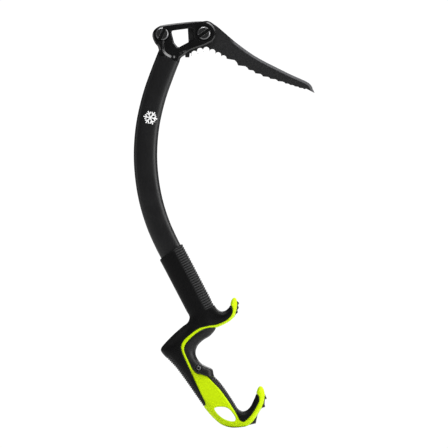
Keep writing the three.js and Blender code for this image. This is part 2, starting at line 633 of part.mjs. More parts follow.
function handleFrame() {
  const screwHole = bar(SPACER_SCREW_AT, SPACER_SCREW.radius + GAP, -FAR, FAR, SMALL_SIDES);
  const rivetHole = bar(rivetAt, RIVET_RADIUS + GAP, -FAR, FAR, SMALL_SIDES);
  return handleForm.intersect(frameRegion())
    .add(frameCore(0))
    .add(spigot(SHAFT_LENGTH - FRAME_SPIGOT_LENGTH, SHAFT_LENGTH + 1, 3))
    .subtract(plate(eye, 2 * FAR))
    .subtract(plateSlots())
    .subtract(platePinHoles)
    .subtract(screwHole)
    .subtract(rivetHole);
}

function palmGrip() {
  return handleForm.intersect(palmRegion())
    .subtract(frameCore(GAP))
    .subtract(plateSlots())
    .subtract(platePinHoles);
}

function frontGrip() {
  return handleForm.intersect(stripRegion())
    .subtract(frameCore(GAP))
    .subtract(plateSlots())
    .subtract(platePinHoles);
}

function fingerSpacer() {
  const { radius, floor } = SPACER_SEAT;
  return handleForm.intersect(spacerRegion())
    .subtract(frameCore(GAP))
    .subtract(bar(SPACER_SCREW_AT, SPACER_SCREW.radius + GAP, -FAR, FAR, SMALL_SIDES))
    .subtract(bar(SPACER_SCREW_AT, radius, -FAR, -floor, SMALL_SIDES))
    .subtract(nutPrism(GAP, floor, FAR));
}

const toothPlate = () => plate(TOOTH_PLATE.map(vector), TOOTH_PLATE_DEPTH)
  .subtract(bar(UPPER_PIN_AT, PLATE_PIN_RADIUS + GAP, -FAR, FAR, SMALL_SIDES));
const spikePlate = () => plate(SPIKE_PLATE.map(vector), SPIKE_PLATE_DEPTH)
  .subtract(bar(LOWER_PIN_AT, PLATE_PIN_RADIUS + GAP, -FAR, FAR, SMALL_SIDES));
const platePin = (at, length) => bar(at, PLATE_PIN_RADIUS, -length / 2, length / 2, SMALL_SIDES);

// ---------------------------------------------------------------- finger spacer fasteners
const spacerWasherTop = SPACER_SEAT.floor + GAP + SPACER_SCREW.washerDepth;

function nutPrism(extra, fromY, toY) {
  const corner = (SPACER_NUT.acrossFlats / 2 + extra) / Math.cos(Math.PI / 6);
  return bar(SPACER_SCREW_AT, corner, fromY, toY, 6);
}

function spacerNut() {
  const from = SPACER_SEAT.floor + GAP;
  return nutPrism(0, from, from + SPACER_NUT.depth)
    .subtract(bar(SPACER_SCREW_AT, SPACER_SCREW.radius + GAP, -FAR, FAR, SMALL_SIDES));
}

function spacerWasher() {
  const { washer, washerDepth, radius } = SPACER_SCREW;
  return bar(SPACER_SCREW_AT, washer, -spacerWasherTop, -spacerWasherTop + washerDepth, SMALL_SIDES)
    .subtract(bar(SPACER_SCREW_AT, radius + GAP, -FAR, FAR, SMALL_SIDES));
}

function spacerScrew() {
  const { radius, head, headDepth } = SPACER_SCREW;
  const under = spacerWasherTop + GAP;
  const top = under + headDepth;
  const tip = SPACER_SEAT.floor + GAP + SPACER_NUT.depth - 0.2;
  const body = turned(SPACER_SCREW_AT, [
    [0, -top], [head - 0.8, -top], [head, -top + 1], [head, -under], [radius, -under],
    [radius, tip - 0.5], [radius - 0.5, tip], [0, tip],
  ], SMALL_SIDES);
  return body.subtract(bar(SPACER_SCREW_AT, 1.45, -FAR, -top + 1.5, 6));
}

// ---------------------------------------------------------------- the axe
const axe = new THREE.Group();

function addPiece(name, piece, material) {
  const { vertProperties, triVerts } = piece.getMesh();
  const geometry = new THREE.BufferGeometry();
  geometry.setAttribute('position', new THREE.BufferAttribute(vertProperties, 3));
  geometry.setIndex(new THREE.BufferAttribute(triVerts, 1));
  geometry.computeVertexNormals();
  const mesh = new THREE.Mesh(geometry, material);
  mesh.name = name;
  axe.add(mesh);
}

addPiece('shaft', shaft(), shaftBlack);
addPiece('head_casting', headCasting(), castBlack);
addPiece('pick', pick(), pickGrey);
addPiece('rear_spacer', rearSpacer(), pickGrey);
addPiece('pick_bolt', headBolt(PICK_BOLT_AT, PICK_BOLT_SLOT_ANGLE), boltBlack);
addPiece('pick_bolt_washer', headWasher(PICK_BOLT_AT), bareSteel);
addPiece('pick_bolt_nut', headNut(PICK_BOLT_AT), boltBlack);
addPiece('rear_bolt', headBolt(REAR_BOLT_AT, REAR_BOLT_SLOT_ANGLE), boltBlack);
addPiece('rear_bolt_washer', headWasher(REAR_BOLT_AT), bareSteel);
addPiece('rear_bolt_nut', headNut(REAR_BOLT_AT), boltBlack);
addPiece('upper_grip_sleeve', upperGripSleeve(), rubberBlack);
addPiece('handle_frame', handleFrame(), frameLime);
addPiece('frame_rivet', frameRivet(), bareSteel);
addPiece('palm_grip', palmGrip(), rubberBlack);
addPiece('front_grip', frontGrip(), rubberBlack);
addPiece('finger_spacer', fingerSpacer(), spacerBlack);
addPiece('spacer_screw', spacerScrew(), boltBlack);
addPiece('spacer_screw_washer', spacerWasher(), bareSteel);
addPiece('spacer_screw_nut', spacerNut(), bareSteel);
addPiece('upper_tooth_plate', toothPlate(), spikeBlack);
addPiece('upper_plate_pin', platePin(UPPER_PIN_AT, UPPER_PIN_LENGTH), bareSteel);
addPiece('lower_spike_plate', spikePlate(), spikeBlack);
addPiece('lower_plate_pin', platePin(LOWER_PIN_AT, LOWER_PIN_LENGTH), bareSteel);

export default axe;
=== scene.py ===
"""The looks of a technical ice axe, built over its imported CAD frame.

Lengths are in millimetres, in the frame's axes: +X is the way the pick points, +Z is up, and the plane
Y = 0 halves the axe. MM turns them into Blender's metres when a mesh is made.

The shaft is a loft. The handle, the head, the pick and the small plates start as rough solids, which are
remeshed to an even grid. Their ribs, bevels and rounded shoulders are then laid on that grid as heights,
and the handle is cut into its mouldings along its parting lines.
"""
import math

import bmesh
import bpy
import numpy as np
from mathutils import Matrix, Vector


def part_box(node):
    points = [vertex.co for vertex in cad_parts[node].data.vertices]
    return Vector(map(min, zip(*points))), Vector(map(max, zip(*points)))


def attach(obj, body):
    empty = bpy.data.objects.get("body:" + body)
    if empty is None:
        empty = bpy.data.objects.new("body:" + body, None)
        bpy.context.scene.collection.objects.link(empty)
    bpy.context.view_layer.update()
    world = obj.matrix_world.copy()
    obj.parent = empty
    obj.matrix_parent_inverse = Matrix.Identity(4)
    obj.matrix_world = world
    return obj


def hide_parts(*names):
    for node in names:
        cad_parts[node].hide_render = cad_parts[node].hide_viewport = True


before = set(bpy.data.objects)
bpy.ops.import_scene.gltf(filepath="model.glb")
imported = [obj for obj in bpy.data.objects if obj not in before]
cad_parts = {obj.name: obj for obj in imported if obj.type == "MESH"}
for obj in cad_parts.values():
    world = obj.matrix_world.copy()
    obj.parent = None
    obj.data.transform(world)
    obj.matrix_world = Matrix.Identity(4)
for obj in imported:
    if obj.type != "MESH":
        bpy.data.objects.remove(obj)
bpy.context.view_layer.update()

MM = 0.001
FAR = 80.0  # reach of a cutting solid past anything that it cuts
SEAM = 0.14  # half of the gap between two mouldings
LIME_SEAM = 0.3  # how far the frame's edge stands back from a parting line

# ---- driving shapes
SHAFT_WIDTH, SHAFT_DEPTH, SHAFT_WALL, SHAFT_POWER = 29.0, 20.0, 2.0, 2.6
SLEEVE_GROWTH, SLEEVE_LENGTH, SLEEVE_LAP = 4.8, 78.0, 9.55
HANDLE_POWER = 2.7
CHEEK_DEPTH, CHEEK_CHAMFER, PICK_DEPTH = 14.0, 1.6, 4.0
COLLAR_DEPTH, COLLAR_CHAMFER, COLLAR_LAP = 20.0, 2.8, 8.0
TOOTH_PLATE_DEPTH, SPIKE_PLATE_DEPTH = 2.5, 3.0

# Middle line of the tube, from the head down to its end inside the handle.
SHAFT_LINE = [
    (-68.4, 455), (-75.7, 436.5), (-86, 407), (-94, 372), (-96.8, 338), (-95.2, 308),
    (-90.2, 279), (-82, 252), (-72.5, 229.9), (-54.5, 195.3), (-36.5, 160.7),
]
SLEEVE_TOP_EDGE = [(-90, 198.9), (-40, 234.2)]

# Paired edges of the handle: front x, z, rear x, z and full thickness at each station.
HANDLE_STATIONS = [
    (-16.94, 159.72, -46.92, 144.12, 24.8), (-13, 150, -42.7, 135.5, 25), (-10, 136, -45, 129, 25.5),
    (-10, 122.5, -51, 124.3, 26.5), (-17, 113, -62, 114.7, 28.5), (-25.5, 107.5, -72.5, 104, 29.5),
    (-32, 101.3, -77.3, 98, 30), (-34.8, 95, -78, 94.5, 30), (-35, 90, -75.5, 90.5, 30),
    (-32.5, 84, -68.5, 83, 29.5), (-28, 78.7, -60, 74, 29), (-21, 75, -51.5, 62.8, 28),
    (-14.5, 71.5, -45, 53.8, 27), (-12.5, 64, -38, 43.7, 26), (-6, 57, -31, 33.7, 25),
    (0.5, 48.5, -23.5, 23.5, 24), (7, 39, -14, 12.5, 24), (12.5, 30.5, -3.5, 3.8, 24),
    (16.5, 24, 7, 0.2, 24), (20, 21, 18, 0.1, 24), (23.5, 20, 28.5, 2, 24),
    (27.5, 21.2, 35, 7.3, 24), (32, 25.4, 40, 14.3, 23.5), (35.5, 32, 45, 22.7, 22.5),
    (38.5, 39, 48.7, 32, 21), (40.3, 45, 49.7, 41, 18), (42, 49.3, 48.3, 47.5, 12), (44, 51.2, 46, 51, 5),
]
# Paired edges of the upper pommel: inner x, z, outer x, z and full thickness.
POMMEL_STATIONS = [
    (-22, 158, -18, 119, 20), (-13.5, 152.5, -10, 122.5, 24), (-9, 146, -4, 125, 25.5),
    (-5, 143, 2.5, 128.2, 26), (-1, 142.6, 8, 131.8, 26), (3, 144.8, 12.5, 136.8, 26),
    (6, 147.8, 14.6, 143.3, 25), (7.8, 152, 15.8, 150, 21), (9, 156.5, 15.4, 155.8, 15),
    (11.5, 160, 14.8, 159.3, 6),
]
# Parting lines on the handle's sides, each from the upper pommel downwards.
PALM_PARTING = [
    (7.5, 150.5), (9.6, 148), (10.5, 144.5), (9.5, 139.5), (3.5, 132.5), (-9, 126.8), (-20, 124.7),
    (-30.6, 122), (-41.4, 114.7), (-50.2, 106.4), (-52.9, 99.8), (-52, 93.5), (-46.2, 79.5), (-37.6, 60.3),
    (-29.2, 42.3), (-23.6, 30.6), (-23.4, 27.8), (-25.5, 26),
]
SPACER_PARTING = [
    (-10, 122.5), (-15, 123), (-26.5, 120.4), (-38.4, 112.4), (-47.4, 102.5), (-49.4, 96.4),
    (-48.2, 91.5), (-42.7, 79.2), (-38.6, 71.3), (-33.5, 66.5), (-28.5, 65.3), (-20.8, 63),
]
STRIP_PARTING = [
    (-20.8, 63), (-13.8, 55.8), (-4.6, 46), (7.7, 28.8), (17, 13.4), (19.6, 8.9), (23.5, 7),
    (31.7, 13.7), (41, 27.9), (43.1, 33.7), (42.6, 38), (39.5, 41.6),
]
EYE = [
    (-12, 23), (-10, 24.7), (0, 25), (4.5, 23.5), (8.5, 20), (13.9, 11.3), (13.3, 8.3), (10, 7.5),
    (1, 10), (-7, 15.6),
]

HEAD_TOP = [
    (-80.4, 464.2), (-81.4, 467.9), (-85.2, 472.8), (-88.4, 481.5), (-86.5, 488.3), (-79, 493.8),
    (-66.7, 496.2), (-42, 498.9), (-29, 499.5),
]
HEAD_BELLY = [
    (-16.2, 474.1), (-23.6, 470.4), (-35.9, 466.1), (-42, 463.6), (-49.4, 458.1), (-53, 454.6),
]
HEAD_ROOT = [(-60, 446), (-82, 456)]
FRONT_LOBE_RADIUS, FRONT_LOBE_ANGLES = 14.4, (92, -48)
HEAD_WINDOW = [(-65.2, 487.8), (-38.6, 491.3), (-37.1, 477.6), (-56.5, 467.2), (-61.5, 473.2)]
COLLAR_RAMP = [
    (-73.6, 477), (-73.2, 465), (-72.2, 462.3), (-67.9, 458.7), (-61.7, 457.1), (-54.4, 461.7),
    (-46, 464.5),
]
COLLAR_FRONT = [(-53.8, 454.3), (-48.2, 458)]
COLLAR_REAR = [(-79.5, 478), (-83.8, 471.6), (-81.6, 468.4), (-80.4, 464.2)]
PICK_SLOT = [
    (-45.4, 510), (-45.4, 477), (-44.6, 470.6), (-48.7, 466.4), (-48.2, 450), (30, 450), (30, 510),
]
REAR_SLOT = [(-100, 467.9), (-69.5, 467.9), (-69.5, 510), (-100, 510)]

PICK_BACK = [
    (-45, 493.5), (-30, 498.3), (-20.5, 500), (-11.3, 495.1), (13.3, 474.5), (31.7, 460.9),
    (44, 453.3), (80.9, 434.6), (103.2, 424.2), (107.2, 420.4), (109.4, 415.4), (111.4, 411.1),
]
PICK_FINE_TIPS = [(100.6, 416.7), (98, 416), (92.4, 417.6), (86.6, 419.4), (80.8, 421.2), (75, 423)]
PICK_COARSE_TIPS = [
    (75, 423), (65.9, 425.8), (56.7, 428.7), (47.5, 431.6), (38.1, 435.5), (29.9, 439.8),
    (17, 445.2), (2.8, 453.4),
]
SCALLOP_CENTRES = [
    (-0.9, 453.8), (-7.6, 457.7), (-14.6, 461.4), (-22, 464.2), (-29.6, 462.9), (-36.5, 459.4),
]
SCALLOP_RADIUS = 3.85
PICK_CUSPS = [(-4.6, 455), (-10.9, 459.2), (-18.5, 462), (-25.7, 461.7), (-32.7, 459.2)]
PICK_TANG = [
    (-40.4, 456.8), (-40.8, 460.3), (-42.3, 460.3), (-42.9, 455.1), (-47.9, 455.1), (-48.3, 466),
    (-44, 470), (-44, 476),
]
TOOTH_PLATE = [
    (15, 156), (16.4, 155.2), (18.6, 153), (17, 150.2), (18.2, 147.2), (16.4, 144.6), (17, 141.3),
    (14.2, 138.9), (12.4, 135.6), (8.6, 133.6), (4.2, 135.4), (1.4, 137.6), (1.8, 140.6), (4.6, 141.4),
    (9, 141), (12, 144.5), (13, 150),
]
SPIKE_PLATE = [
    (48.6, 44.5), (52.8, 35), (50.2, 34.6), (49.8, 29), (50.6, 25.2), (46, 23.6), (41.2, 15.5),
    (38.9, 4.8), (31.5, 3.2), (20, 0.3), (22, 4.2), (27, 8), (28, 13), (26.2, 16), (26.6, 19),
    (29.6, 19.6), (31.4, 17.4), (35, 16.5), (42.4, 28.4), (45, 36), (46, 43.5),
]


# ---- lines
def smooth(points, per_span=12, closed=False):
    """A smooth line through the points: a centripetal Catmull-Rom spline."""
    points = np.array(points, float)
    if closed:
        reach = np.vstack([points[-1:], points, points[:2]])
    else:
        reach = np.vstack([2 * points[0] - points[1], points, 2 * points[-1] - points[-2]])
    line = []
    t = np.linspace(0, 1, per_span, endpoint=False)[:, None]
    for a, b, c, d in zip(reach, reach[1:], reach[2:], reach[3:]):
        before, span, after = (np.linalg.norm(q - p) ** 0.5 for p, q in ((a, b), (b, c), (c, d)))
        start = ((b - a) / before - (c - a) / (before + span) + (c - b) / span) * span
        end = ((c - b) / span - (d - b) / (span + after) + (d - c) / after) * span
        square, cube = 3 * (c - b) - 2 * start - end, 2 * (b - c) + start + end
        line.append(b + start * t + square * t**2 + cube * t**3)
    return np.vstack(line if closed else [*line, points[-1:]])


def unit(vector):
    return vector / np.linalg.norm(vector)


def arc(centre, radius, start, end, steps):
    """A round stretch about a centre, between two angles in degrees."""
    angles = np.radians(np.linspace(start, end, steps + 1))
    return np.array(centre) + radius * np.column_stack([np.cos(angles), np.sin(angles)])


def shifted(line, distance, closed=False):
    """The same line moved sideways, to its left for a positive distance."""
    line = np.array(line, float)
    before, after = (line[-1:], line[:1]) if closed else (line[:1], line[-1:])
    steps = np.diff(np.vstack([before, line, after]), axis=0)
    steps /= np.maximum(np.linalg.norm(steps, axis=1, keepdims=True), 1e-9)
    along = steps[:-1] + steps[1:]
    along /= np.linalg.norm(along, axis=1, keepdims=True)
    return line + distance * np.column_stack([-along[:, 1], along[:, 0]])


def anticlockwise(outline):
    outline = np.array(outline, float)
    x, z = outline.T
    twice_area = np.sum(x * np.roll(z, -1) - z * np.roll(x, -1))
    return outline if twice_area > 0 else outline[::-1]


def off_axis(points, centre):
    """Each point's distance to an axis that runs along Y."""
    return np.hypot(points[:, 0] - centre[0], points[:, 2] - centre[1])


def along_line(points, line, closed=False):
    """Each point's distance along a line and its distance from it, in the XZ plane."""
    line = np.array(line, float)
    if closed:
        line = np.vstack([line, line[:1]])
    flat = points[:, (0, 2)]
    nearest = np.full(len(flat), np.inf)
    reached = np.zeros(len(flat))
    travelled = 0.0
    for start, end in zip(line, line[1:]):
        along = end - start
        size = np.linalg.norm(along)
        share = np.clip((flat - start) @ along / size, 0, size)
        offset = flat - start - share[:, None] * along / size
        away = np.hypot(offset[:, 0], offset[:, 1])
        nearer = away < nearest
        nearest[nearer] = away[nearer]
        reached[nearer] = travelled + share[nearer]
        travelled += size
    return reached, nearest


def line_distance(points, line, closed=False):
    return along_line(points, line, closed)[1]


# ---- meshes
def new_object(name, points, faces):
    mesh = bpy.data.meshes.new(name)
    mesh.from_pydata((np.asarray(points, float) * MM).tolist(), [], faces)
    mesh.update()
    obj = bpy.data.objects.new(name, mesh)
    bpy.context.scene.collection.objects.link(obj)
    return obj


def outwards(obj):
    """Turns every face outwards."""
    shell = bmesh.new()
    shell.from_mesh(obj.data)
    bmesh.ops.recalc_face_normals(shell, faces=shell.faces)
    shell.to_mesh(obj.data)
    shell.free()
    return obj


def loft(name, rings, joined=False):
    """A closed skin over equal rings of points, joined end to end, or with flat ends."""
    rings = np.asarray(rings, float)
    count, sides = rings.shape[:2]
    i, j = np.meshgrid(np.arange(count if joined else count - 1), np.arange(sides), indexing="ij")
    after, beside = (i + 1) % count, (j + 1) % sides
    corners = [i * sides + j, after * sides + j, after * sides + beside, i * sides + beside]
    faces = np.stack(corners, -1).reshape(-1, 4).tolist()
    if not joined:
        faces.append(list(range(sides)))
        faces.append(list(range((count - 1) * sides, count * sides)))
    return outwards(new_object(name, rings.reshape(-1, 3), faces))


def layered(name, *layers):
    """A solid through outlines in the XZ plane, each with the Y that it lies at."""
    return loft(name, [np.insert(np.array(line, float), 1, y, axis=1) for line, y in layers])


def prism(name, outline, low=-FAR, high=FAR):
    return layered(name, (outline, low), (outline, high))


def chamfered(name, outline, depth, chamfer, inner=None):
    """A plate centred on Y = 0, with a chamfer round both faces."""
    outline = anticlockwise(outline)
    inner = shifted(outline, chamfer, closed=True) if inner is None else inner
    face = depth / 2
    edge = face - chamfer
    return layered(name, (inner, -face), (outline, -edge), (outline, edge), (inner, face))


def flared(name, outline, near, far, flare):
    """A cutter that breaks an edge: it widens by the flare from one Y to the other."""
    outline = anticlockwise(outline)
    return layered(name, (outline, near), (shifted(outline, -flare, closed=True), far))


def polygon(centre, radius, sides):
    """An even ring of corners, the first of them on the +X side."""
    return arc(centre, radius, 0, 360 - 360 / sides, sides - 1)


def round_bar(name, centre, radius, low=-FAR, high=FAR, sides=64):
    return prism(name, polygon(centre, radius, sides), low, high)


def turned(name, centre, profile, sides=72):
    """A solid turned about an axis along Y; its profile is (radius, y)."""
    return layered(name, *[(polygon(centre, radius, sides), y) for radius, y in profile])


def applied(obj):
    """Makes what the modifiers show the object's own mesh."""
    bpy.context.view_layer.update()
    seen = obj.evaluated_get(bpy.context.evaluated_depsgraph_get())
    made = bpy.data.meshes.new_from_object(seen)
    obj.modifiers.clear()
    old, obj.data = obj.data, made
    bpy.data.meshes.remove(old)
    made.name = obj.name
    return obj


def copied(obj, name):
    made = obj.copy()
    made.data = obj.data.copy()
    made.name = made.data.name = name
    bpy.context.scene.collection.objects.link(made)
    return made


def joined(obj, tool, operation):
    """One boolean step, after which the tool is gone."""
    step = obj.modifiers.new("step", "BOOLEAN")
    step.operation = operation
    step.solver = "MANIFOLD"
    step.object = tool
    applied(obj)
    bpy.data.objects.remove(tool)
    return obj


def less(obj, *tools):
    for tool in tools:
        joined(obj, tool, "DIFFERENCE")
    return obj


def plus(obj, *tools):
    for tool in tools:
        joined(obj, tool, "UNION")
    return obj


def remeshed(obj, size):
    """An even grid of quads over the same solid."""
    step = obj.modifiers.new("grid", "REMESH")
    step.mode = "VOXEL"
    step.voxel_size = size * MM
    step.adaptivity = 0
    return applied(obj)


def triples(obj, items, field):
    """A field of three numbers at each point of the mesh."""
    flat = np.empty(len(obj.data.vertices) * 3, np.float32)
    items.foreach_get(field, flat)
    return flat.reshape(-1, 3).astype(float)


def points_of(obj):
    return triples(obj, obj.data.vertices, "co") / MM


def set_points(obj, points):
    obj.data.vertices.foreach_set("co", (points * MM).astype(np.float32).ravel())
    obj.data.update()
    return obj


def raised(obj, height):
    """Moves each point out along its normal by its own height."""
    normals = triples(obj, obj.data.vertex_normals, "vector")
    return set_points(obj, points_of(obj) + normals * np.reshape(height, (-1, 1)))


def relaxed(obj, steps, weight=1.0):
    """Evens out creases: each point moves towards its neighbours' middle, by its weight."""
    pairs = np.empty(len(obj.data.edges) * 2, np.int32)
    obj.data.edges.foreach_get("vertices", pairs)
    a, b = pairs.reshape(-1, 2).T
    points = points_of(obj)
    count = len(points)
    degree = np.bincount(a, minlength=count) + np.bincount(b, minlength=count)
    strength = 0.5 * np.broadcast_to(weight, count)[:, None]
    for _ in range(steps):
        total = np.column_stack([
            np.bincount(a, points[b, k], count) + np.bincount(b, points[a, k], count) for k in range(3)
        ])
        points = points + strength * (total / degree[:, None] - points)
    return set_points(obj, points)


def attribute(obj, name, values):
    """A number at each point, or one for them all, which the materials read by name."""
    made = obj.data.attributes.get(name) or obj.data.attributes.new(name, "FLOAT", "POINT")
    values = np.broadcast_to(np.asarray(values, np.float32), len(obj.data.vertices))
    made.data.foreach_set("value", np.ascontiguousarray(values))


def shaded(obj, angle=None):
    """Smooth shading, with edges sharper than the angle left sharp."""
    obj.data.shade_smooth()
    if angle:
        obj.data.set_sharp_from_angle(angle=math.radians(angle))
    obj.data.update()
    return obj


def bevelled(obj, width, segments=2, angle=35):
    step = obj.modifiers.new("edge", "BEVEL")
    step.width = width * MM
    step.segments = segments
    step.limit_method = "ANGLE"
    step.angle_limit = math.radians(angle)
    shaded(obj)
    obj.modifiers.new("flat_faces", "WEIGHTED_NORMAL").keep_sharp = True
    return applied(obj)


def shoulder(distance, width, depth, power=2.0):
    """How far a surface drops towards an edge: the whole depth there, and nothing past the width."""
    return depth * np.clip(1 - distance / width, 0, 1) ** power


def fade(values, start, end):
    """0 before start and 1 past end, with a smooth step between them; end may be the lower one."""
    share = np.clip((values - start) / (end - start), 0, 1)
    return share * share * (3 - 2 * share)


# ---- materials
def material(name, colour, roughness, specular=0.5, metallic=0.0):
    made = bpy.data.materials.new(name)
    made.use_nodes = True
    made.diffuse_color = (*colour, 1)
    shader = made.node_tree.nodes["Principled BSDF"]
    sockets = ("Base Color", "Roughness", "Metallic", "Specular IOR Level")
    for socket, value in zip(sockets, ((*colour, 1), roughness, metallic, specular)):
        shader.inputs[socket].default_value = value
    return made


def node(owner, kind, inputs=None, **settings):
    made = owner.node_tree.nodes.new("ShaderNode" + kind)
    for name, value in settings.items():
        setattr(made, name, value)
    for socket, value in (inputs or {}).items():
        if isinstance(value, bpy.types.NodeSocket):
            owner.node_tree.links.new(value, made.inputs[socket])
        else:
            made.inputs[socket].default_value = value
    return made


def place(owner, stretch=(1, 1, 1)):
    """The object's own coordinates, stretched along its axes."""
    source = node(owner, "TexCoord").outputs["Object"]
    return node(owner, "Mapping", {"Vector": source, "Scale": stretch}).outputs["Vector"]


def noise(owner, scale, detail, stretch=(1, 1, 1)):
    inputs = {"Vector": place(owner, stretch), "Scale": scale, "Detail": detail, "Roughness": 0.55}
    return node(owner, "TexNoise", inputs).outputs["Fac"]


def mapped(owner, value, low, high, start=0.0, end=1.0):
    inputs = {"Value": value, "From Min": start, "From Max": end, "To Min": low, "To Max": high}
    return node(owner, "MapRange", inputs).outputs["Result"]


def mixed(owner, share, first, second):
    """A colour between two others; either may be a socket."""
    ends = [value if isinstance(value, bpy.types.NodeSocket) else (*value, 1) for value in (first, second)]
    made = node(owner, "Mix", {0: share, 6: ends[0], 7: ends[1]}, data_type="RGBA")
    return made.outputs[2]


def read(owner, name):
    return node(owner, "Attribute", attribute_name=name).outputs["Fac"]


def link(owner, output, socket):
    owner.node_tree.links.new(output, owner.node_tree.nodes["Principled BSDF"].inputs[socket])


def coloured(owner, share, first, second):
    link(owner, mixed(owner, share, first, second), "Base Color")


def varied(owner, value, low, high):
    """Lets a texture's middle range move the roughness between two values."""
    link(owner, mapped(owner, value, low, high, 0.3, 0.7), "Roughness")


def bump(owner, height, distance, strength=1.0):
    """Small relief: distance is its full height in millimetres."""
    made = node(owner, "Bump", {"Height": height, "Distance": distance * MM, "Strength": strength})
    link(owner, made.outputs["Normal"], "Normal")


def sum_of(owner, first, second, share=0.5):
    scaled = node(owner, "Math", {0: second, 1: share}, operation="MULTIPLY").outputs[0]
    return node(owner, "Math", {0: first, 1: scaled}, operation="ADD").outputs[0]


def shaft_finish():
    """Black anodised tube: a fine blasted grain and faint cloudiness."""
    made = material("shaft_black", (0.006, 0.006, 0.0065), 0.36, 0.29)
    cloud = noise(made, 38, 3)
    grain = noise(made, 2600, 2)
    coloured(made, cloud, (0.0045, 0.0045, 0.005), (0.0075, 0.0075, 0.008))
    varied(made, cloud, 0.34, 0.42)
    bump(made, sum_of(made, grain, cloud), 0.018)
    return made


def cast_finish():
    """Glossy black coat over a casting, with the faint waviness of its polishing."""
    made = material("cast_black", (0.002, 0.002, 0.0022), 0.17, 0.5)
    ripple = noise(made, 120, 3)
    grain = noise(made, 1500, 2)
    coloured(made, ripple, (0.0015, 0.0015, 0.0017), (0.003, 0.003, 0.0033))
    varied(made, ripple, 0.15, 0.24)
    bump(made, sum_of(made, ripple, grain, 0.12), 0.02)
    return made


def pick_finish():
    """Heat-treated grey steel: fine scale, and brighter brushed metal where its back is ground."""
    made = material("pick_grey", (0.03, 0.03, 0.031), 0.5, 0.32, 0.3)
    scale = noise(made, 420, 4)
    brushed = noise(made, 900, 2, stretch=(1, 1, 0.12))
    ground = read(made, "bare_metal_and_sheen")
    coloured(made, ground, mixed(made, scale, (0.0095, 0.0095, 0.01), (0.014, 0.014, 0.0145)),
             mixed(made, brushed, (0.08, 0.08, 0.083), (0.13, 0.13, 0.135)))
    varied(made, scale, 0.46, 0.6)
    link(made, mapped(made, ground, 0.25, 0.85), "Metallic")
    bump(made, sum_of(made, scale, brushed, 0.4), 0.02)
    return made


def steel_finish(name, dark, bright, roughness, specular=0.5):
    """Turned or cut steel: dark where it is coated, bright where its edges are worn, and bright along a
    bolt's slot edges as a painted highlight.
    """
    made = material(name, dark, roughness, specular, 0.4)
    scratch = noise(made, 1400, 3)
    wear_and_sheen = read(made, "bare_metal_and_sheen")
    coloured(made, wear_and_sheen, dark, bright)
    varied(made, scratch, roughness - 0.06, roughness + 0.08)
    link(made, mapped(made, wear_and_sheen, 0.35, 0.95), "Metallic")
    bump(made, scratch, 0.012)
    return made


def rubber_finish():
    """Moulded rubber: a dull skin with a fine leathery grain, and a painted highlight of lighter grey on the
    crests of its ribs.
    """
    made = material("rubber_black", (0.003, 0.003, 0.003), 0.45, 0.11)
    cloud = noise(made, 60, 3)
    pebble = node(made, "TexVoronoi", {"Vector": place(made), "Scale": 1500.0}).outputs["Distance"]
    grain = noise(made, 3000, 2)
    plain = mixed(made, cloud, (0.0022, 0.0022, 0.0023), (0.0036, 0.0036, 0.0038))
    # painted highlight: the rib crests that are marked on the mesh turn a lighter grey
    coloured(made, read(made, "bare_metal_and_sheen"), plain, (0.032, 0.032, 0.033))
    varied(made, cloud, 0.4, 0.52)
    bump(made, sum_of(made, pebble, grain, 0.5), 0.03, 0.6)
    return made


def spacer_finish():
    """Glass-filled nylon: smooth, with a faint flow pattern."""
    made = material("spacer_black", (0.006, 0.006, 0.0062), 0.42, 0.22)
    flow = noise(made, 90, 4, stretch=(1, 1, 2.5))
    grain = noise(made, 2200, 2)
    coloured(made, flow, (0.0045, 0.0045, 0.0047), (0.0075, 0.0075, 0.0078))
    varied(made, flow, 0.36, 0.48)
    bump(made, sum_of(made, grain, flow, 0.3), 0.02)
    return made


def lime_finish():
    """Bright moulded nylon with a fine grain, and painted shade: dark olive along its parting lines and its
    eye, and on the web that floors the seams.
    """
    made = material("frame_lime", (0.515, 0.72, 0.0), 0.5, 0.1)
    cloud = noise(made, 70, 3)
    grain = noise(made, 260, 2)
    plain = mixed(made, cloud, (0.495, 0.70, 0.0), (0.535, 0.735, 0.0))
    # painted shade: the dark olive stands in for the shadow in the grooves along the frame's borders and
    # round its eye
    coloured(made, read(made, "painted_shade"), plain, (0.19, 0.30, 0.001))
    varied(made, cloud, 0.44, 0.54)
    bump(made, grain, 0.01)
    return made


def mark_finish():
    made = material("mark_white", (0.86, 0.86, 0.86), 0.5, 0.4)
    speck = noise(made, 1600, 3)
    coloured(made, mapped(made, speck, 0, 1, 0.3, 0.7), (0.80, 0.80, 0.80), (0.9, 0.9, 0.9))
    bump(made, speck, 0.008)
    return made


FINISHES = {
    "shaft_black": shaft_finish(),
    "cast_black": cast_finish(),
    "pick_grey": pick_finish(),
    "bolt_black": steel_finish("bolt_black", (0.008, 0.008, 0.0083), (0.15, 0.15, 0.153), 0.32, 0.3),
    "bare_steel": steel_finish("bare_steel", (0.09, 0.09, 0.092), (0.42, 0.42, 0.43), 0.34),
    "spike_black": steel_finish("spike_black", (0.02, 0.02, 0.021), (0.24, 0.24, 0.25), 0.4),
    "rubber_black": rubber_finish(),
    "spacer_black": spacer_finish(),
    "frame_lime": lime_finish(),
}


def finished(obj, slot, nodes, body="axe", finish=None):
    """Gives a piece the material of its slot and its body, and hides the CAD nodes that it stands for."""
    obj.data.materials.clear()
    obj.data.materials.append(finish or FINISHES[slot])
    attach(obj, body)
    if nodes:
        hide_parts(*nodes)
    return obj


# ---- shaft
def section(a, b, depth, power, sides=96):
    """A superellipse ring spanning two edge points, with its thickness along Y."""
    a, b = np.array(a, float), np.array(b, float)
    bent = lambda value: np.sign(value) * np.abs(value) ** (2 / power)
    angles = 2 * math.pi * (np.arange(sides) + 0.5) / sides
    middle, half = (a + b) / 2, (b - a) / 2
    flat = middle + bent(np.cos(angles))[:, None] * half
    return np.column_stack([flat[:, 0], bent(np.sin(angles)) * depth / 2, flat[:, 1]])


